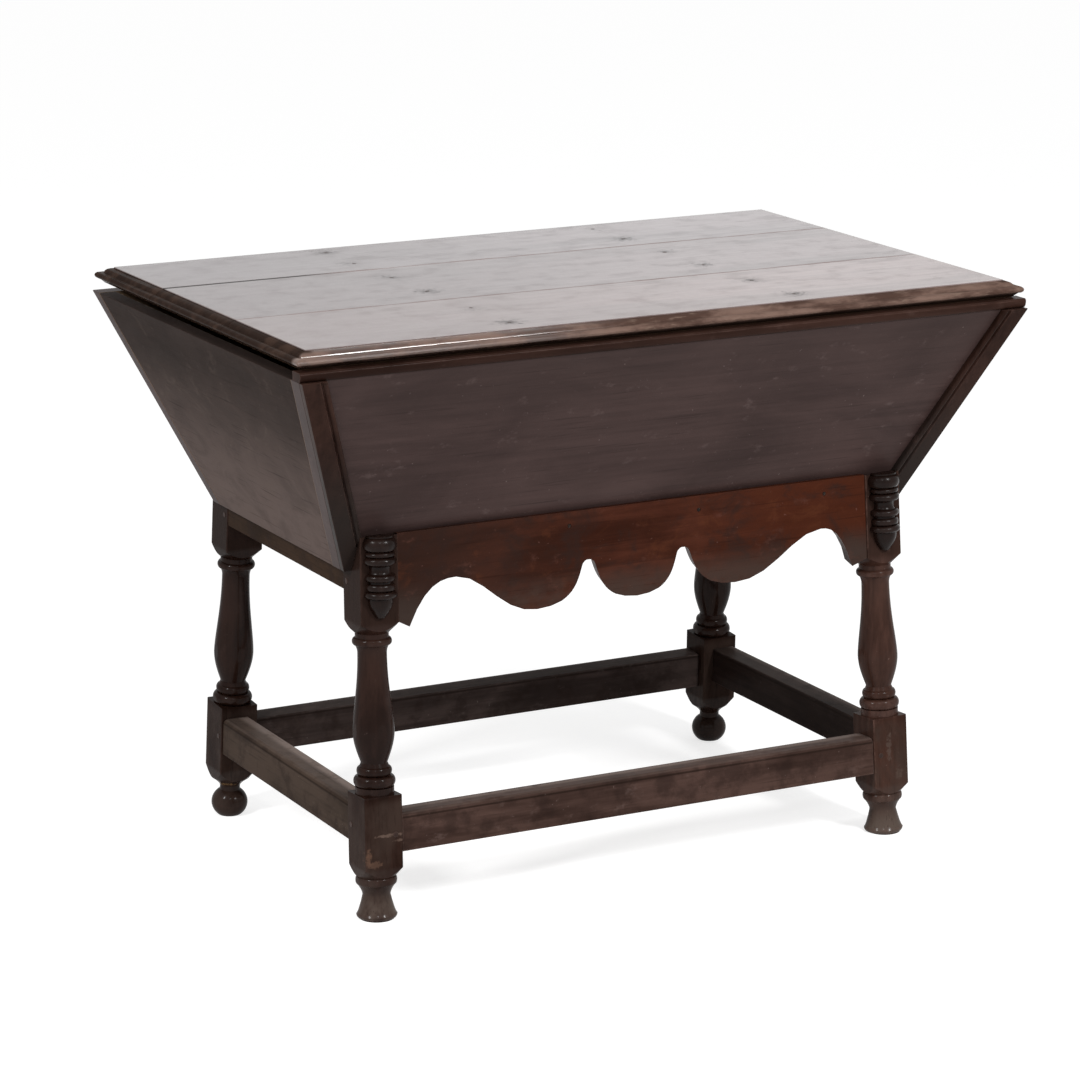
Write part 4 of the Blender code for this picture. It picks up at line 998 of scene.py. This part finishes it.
def board_stain_and_shade(across, sign, bare):
    """Colour of a splayed board: painted shade that darkens it under the lid and leaves it paler towards
    its foot, smears on the end boards, and bare where dough was kneaded inside it.
    """
    foot, slope, skin = ((0.406, 0.4108, 0.0), (0.2085, 0.4889, 0.01))[across]

    def stain(finish, base):
        x, y, z = finish.axes()
        out = (x, y)[across] * sign
        depth = ((foot - skin * (sign < 0)) + (z - 0.4503) * slope - out) * (1 / math.hypot(1, slope))
        if across:
            # Painted shadow of the lid: the long board darker towards its top
            base = finish.mix(finish.ramp(z, 0.6, 0.725) * 0.35, base, BOARD_LID_SHADOW)
        else:
            # Painted shade: the end board darker towards its top and paler towards its foot
            base = finish.mix(finish.ramp(z, 0.71, 0.47) * 0.85, base, END_FOOT_PAINTED_LIGHT)
            smear = finish.noise(finish.along("Y", 1.5, 2.6), 17.0, 6.0, 0.66, 0.8)
            base = finish.mix(finish.ramp(smear, 0.44, 0.64) * 0.26, base, END_DARK)
            base = finish.mix(finish.ramp(smear, 0.46, 0.3) * 0.35, base, END_PALE)
        scrubbed = finish.noise(finish.along("X", 2.0, 1.0), 20.0, 4.0, 0.6)
        inside = finish.mix(finish.ramp(scrubbed, 0.3, 0.7), lighter(bare, 0.75), lighter(bare, 1.15))
        return finish.mix(finish.ramp(depth, 0.0207, 0.0217), base, inside)

    return stain


class DOUGHBIN_OT_strips(bpy.types.Operator):
    """Ease the beaded corner strips and the rim strip"""

    bl_idname = "doughbin.strips"
    bl_label = "Corner and rim strips"

    def execute(self, context):
        sizes = context.scene.bin_sizes
        dark = context.scene.bin_colours.dark
        for name in ("corner_strip_left", "corner_strip_right", "rim_strip_front"):
            axis = "X" if name.startswith("rim") else "Z"
            strip = eased_copy(name, sizes.lid_edge * 1.5)
            wood = old_wood(name, lighter(dark, 0.8), axis, contrast=0.9, rough=0.32, gloss=0.03,
                            shift=4.0, stain=strip_stain, rub=0.4)
            settle(strip, wood, "dark_wood", "base", name)
        return {"FINISHED"}


def strip_stain(finish, base):
    """Blackened towards the foot of the trough."""
    return finish.mix(finish.ramp(finish.axes()[2], 0.66, 0.5) * 0.8, base, STRIP_BLACK)


class DOUGHBIN_OT_lid(bpy.types.Operator):
    """Ease the lid's three planks and give them their bleached finish"""

    bl_idname = "doughbin.lid"
    bl_label = "Lid planks"

    def execute(self, context):
        sizes = context.scene.bin_sizes
        lid = context.scene.bin_colours.lid
        bare = context.scene.bin_colours.bare
        for name, tints, shift in (("lid_plank_back", (0.94, 1.05, 1.12), 0.4),
                                   ("lid_plank_middle", (0.84, 0.89, 0.93), 3.3),
                                   ("lid_plank_front", (1.00, 1.00, 1.00), 7.9)):
            colour = [part * share for part, share in zip(lid, tints)]
            plank = eased_copy(name, sizes.lid_edge)
            settle(plank, pale_lid(name, colour, shift), "lid_wood", "lid", name)
            plank.data.materials.append(lid_moulding(name, bare, shift))
            below = [int(face.center.z < LID_TOP - 0.0008) for face in plank.data.polygons]
            plank.data.polygons.foreach_set("material_index", below)
        return {"FINISHED"}


class DOUGHBIN_OT_cleats(bpy.types.Operator):
    """Ease the two cleats under the lid"""

    bl_idname = "doughbin.cleats"
    bl_label = "Cleats"

    def execute(self, context):
        for side in SIDES:
            name = "lid_cleat_" + side
            cleat = eased_copy(name, context.scene.bin_sizes.board_edge)
            wood = old_wood(name, context.scene.bin_colours.bare, "Y", rough=0.6, gloss=0.3, shift=4.0)
            settle(cleat, wood, "bare_wood", "lid", name)
        return {"FINISHED"}


class DOUGHBIN_OT_pegs(bpy.types.Operator):
    """Draw the riven pegs a little out of the legs and round their ends"""

    bl_idname = "doughbin.pegs"
    bl_label = "Pegs"

    def execute(self, context):
        sizes = context.scene.bin_sizes
        wood = old_wood("peg", lighter(context.scene.bin_colours.dark, 0.8), "X", rough=0.5, gloss=0.15)
        pegs = [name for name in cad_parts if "_peg_" in name]
        if len(pegs) != 16:
            raise RuntimeError("the frame should hold 16 pegs")
        for name in pegs:
            peg = merged_copy(name)
            middle = sum((vertex.co for vertex in peg.data.vertices), Vector()) / len(peg.data.vertices)
            axis = 0 if name.startswith(("side_rail", "stretcher_left", "stretcher_right")) else 1
            out = Vector((0, 0, 0))
            out[axis] = math.copysign(1, middle[axis])
            edit_faces(peg, lambda face: face.normal.dot(out) > 0.9)
            bpy.ops.transform.translate(value=out * sizes.peg_proud)
            done()
            ease_edges(peg, 0.001)
            soften(peg)
            settle(peg, wood, "dark_wood", "base", name)
        return {"FINISHED"}


class DOUGHBIN_OT_nails(bpy.types.Operator):
    """Round the nail heads in the lid and the apron"""

    bl_idname = "doughbin.nails"
    bl_label = "Nails"

    def execute(self, context):
        iron = old_iron("nail_iron", context.scene.bin_colours.iron)
        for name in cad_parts:
            if "_nail_" in name:
                nail = eased_copy(name, 0.0006)
                settle(nail, iron, "iron", "lid" if name.startswith("lid") else "base", name)
        return {"FINISHED"}


class DOUGHBIN_OT_stage(bpy.types.Operator):
    """Lay the floor and set the camera, the lamps and the even light"""

    bl_idname = "doughbin.stage"
    bl_label = "Stage"

    def execute(self, context):
        stage = context.scene.stage_settings
        bpy.ops.mesh.primitive_plane_add(size=60.0, location=(0, 0, 0))
        floor = context.object
        floor.name = "floor"
        edit(floor)
        bpy.ops.mesh.subdivide(number_cuts=3)
        done()
        floor.data.materials.append(floor_finish("floor_paint", stage.floor))
        bpy.ops.object.camera_add(location=stage.eye, rotation=(math.pi / 2 - stage.pitch, 0, -stage.yaw))
        camera = context.object
        camera.data.lens = stage.lens
        camera.data.sensor_width = 36.0
        camera.data.clip_end = 200.0
        context.scene.camera = camera
        level = math.cos(LAMP_RISE)
        for turn, power, share in LAMPS:
            heading = stage.yaw + math.radians(180 + turn)
            ray = Vector((math.sin(heading) * level, math.cos(heading) * level, math.sin(LAMP_RISE)))
            bpy.ops.object.light_add(type="AREA", location=LAMP_TARGET + ray * LAMP_REACH)
            lamp = context.object
            lamp.data.shape = "RECTANGLE"
            lamp.data.size = LAMP_SIZE[0] * share
            lamp.data.size_y = LAMP_SIZE[1] * share
            lamp.data.energy = stage.key * power
            lamp.rotation_euler = ray.to_track_quat("Z", "Y").to_euler()
        self.surround(context.scene, stage.surround)
        context.scene.view_settings.view_transform = "Standard"
        return {"FINISHED"}

    def surround(self, scene, strength):
        """Even light on the bin, under a white background to the camera and in gloss and glass."""
        sky = Finish("surround", "worlds", "Background")
        scene.world = sky.owner
        sky.shade(Color=(1, 1, 1, 1), Strength=strength)
        even = Wire(sky, sky.shader.outputs[0])
        white = sky.node("ShaderNodeBackground", {}, {"Color": (1, 1, 1, 1)})
        blend = sky.node("ShaderNodeMixShader", {}, {0: sky.seen(), 1: even, 2: white})
        sky.feed(sky.tree.nodes["World Output"].inputs["Surface"], blend)


STEPS = (DOUGHBIN_OT_stage, DOUGHBIN_OT_legs, DOUGHBIN_OT_spindles, DOUGHBIN_OT_bars, DOUGHBIN_OT_aprons,
         DOUGHBIN_OT_trough, DOUGHBIN_OT_strips, DOUGHBIN_OT_lid, DOUGHBIN_OT_cleats, DOUGHBIN_OT_pegs,
         DOUGHBIN_OT_nails)


class DOUGHBIN_PT_steps(bpy.types.Panel):
    """Sizes, colours and steps of the dough bin"""

    bl_label = "Dough Bin"
    bl_idname = "DOUGHBIN_PT_steps"
    bl_space_type = "VIEW_3D"
    bl_region_type = "UI"
    bl_category = "Dough Bin"

    def draw(self, context):
        for group in (context.scene.bin_sizes, context.scene.bin_colours, context.scene.stage_settings):
            for name in group.__annotations__:
                self.layout.prop(group, name)
        for step in STEPS:
            self.layout.operator(step.bl_idname)


GROUPS = (("bin_sizes", BinSizes), ("bin_colours", BinColours), ("stage_settings", StageSettings))


def register():
    for name, group in GROUPS:
        bpy.utils.register_class(group)
        setattr(bpy.types.Scene, name, bpy.props.PointerProperty(type=group))
    for kind in (*STEPS, DOUGHBIN_PT_steps):
        bpy.utils.register_class(kind)


def unregister():
    for kind in (DOUGHBIN_PT_steps, *reversed(STEPS)):
        bpy.utils.unregister_class(kind)
    for name, group in reversed(GROUPS):
        delattr(bpy.types.Scene, name)
        bpy.utils.unregister_class(group)


def main():
    register()
    for step in STEPS:
        family, name = step.bl_idname.split(".")
        getattr(getattr(bpy.ops, family), name)()


if __name__ == "__main__":
    main()
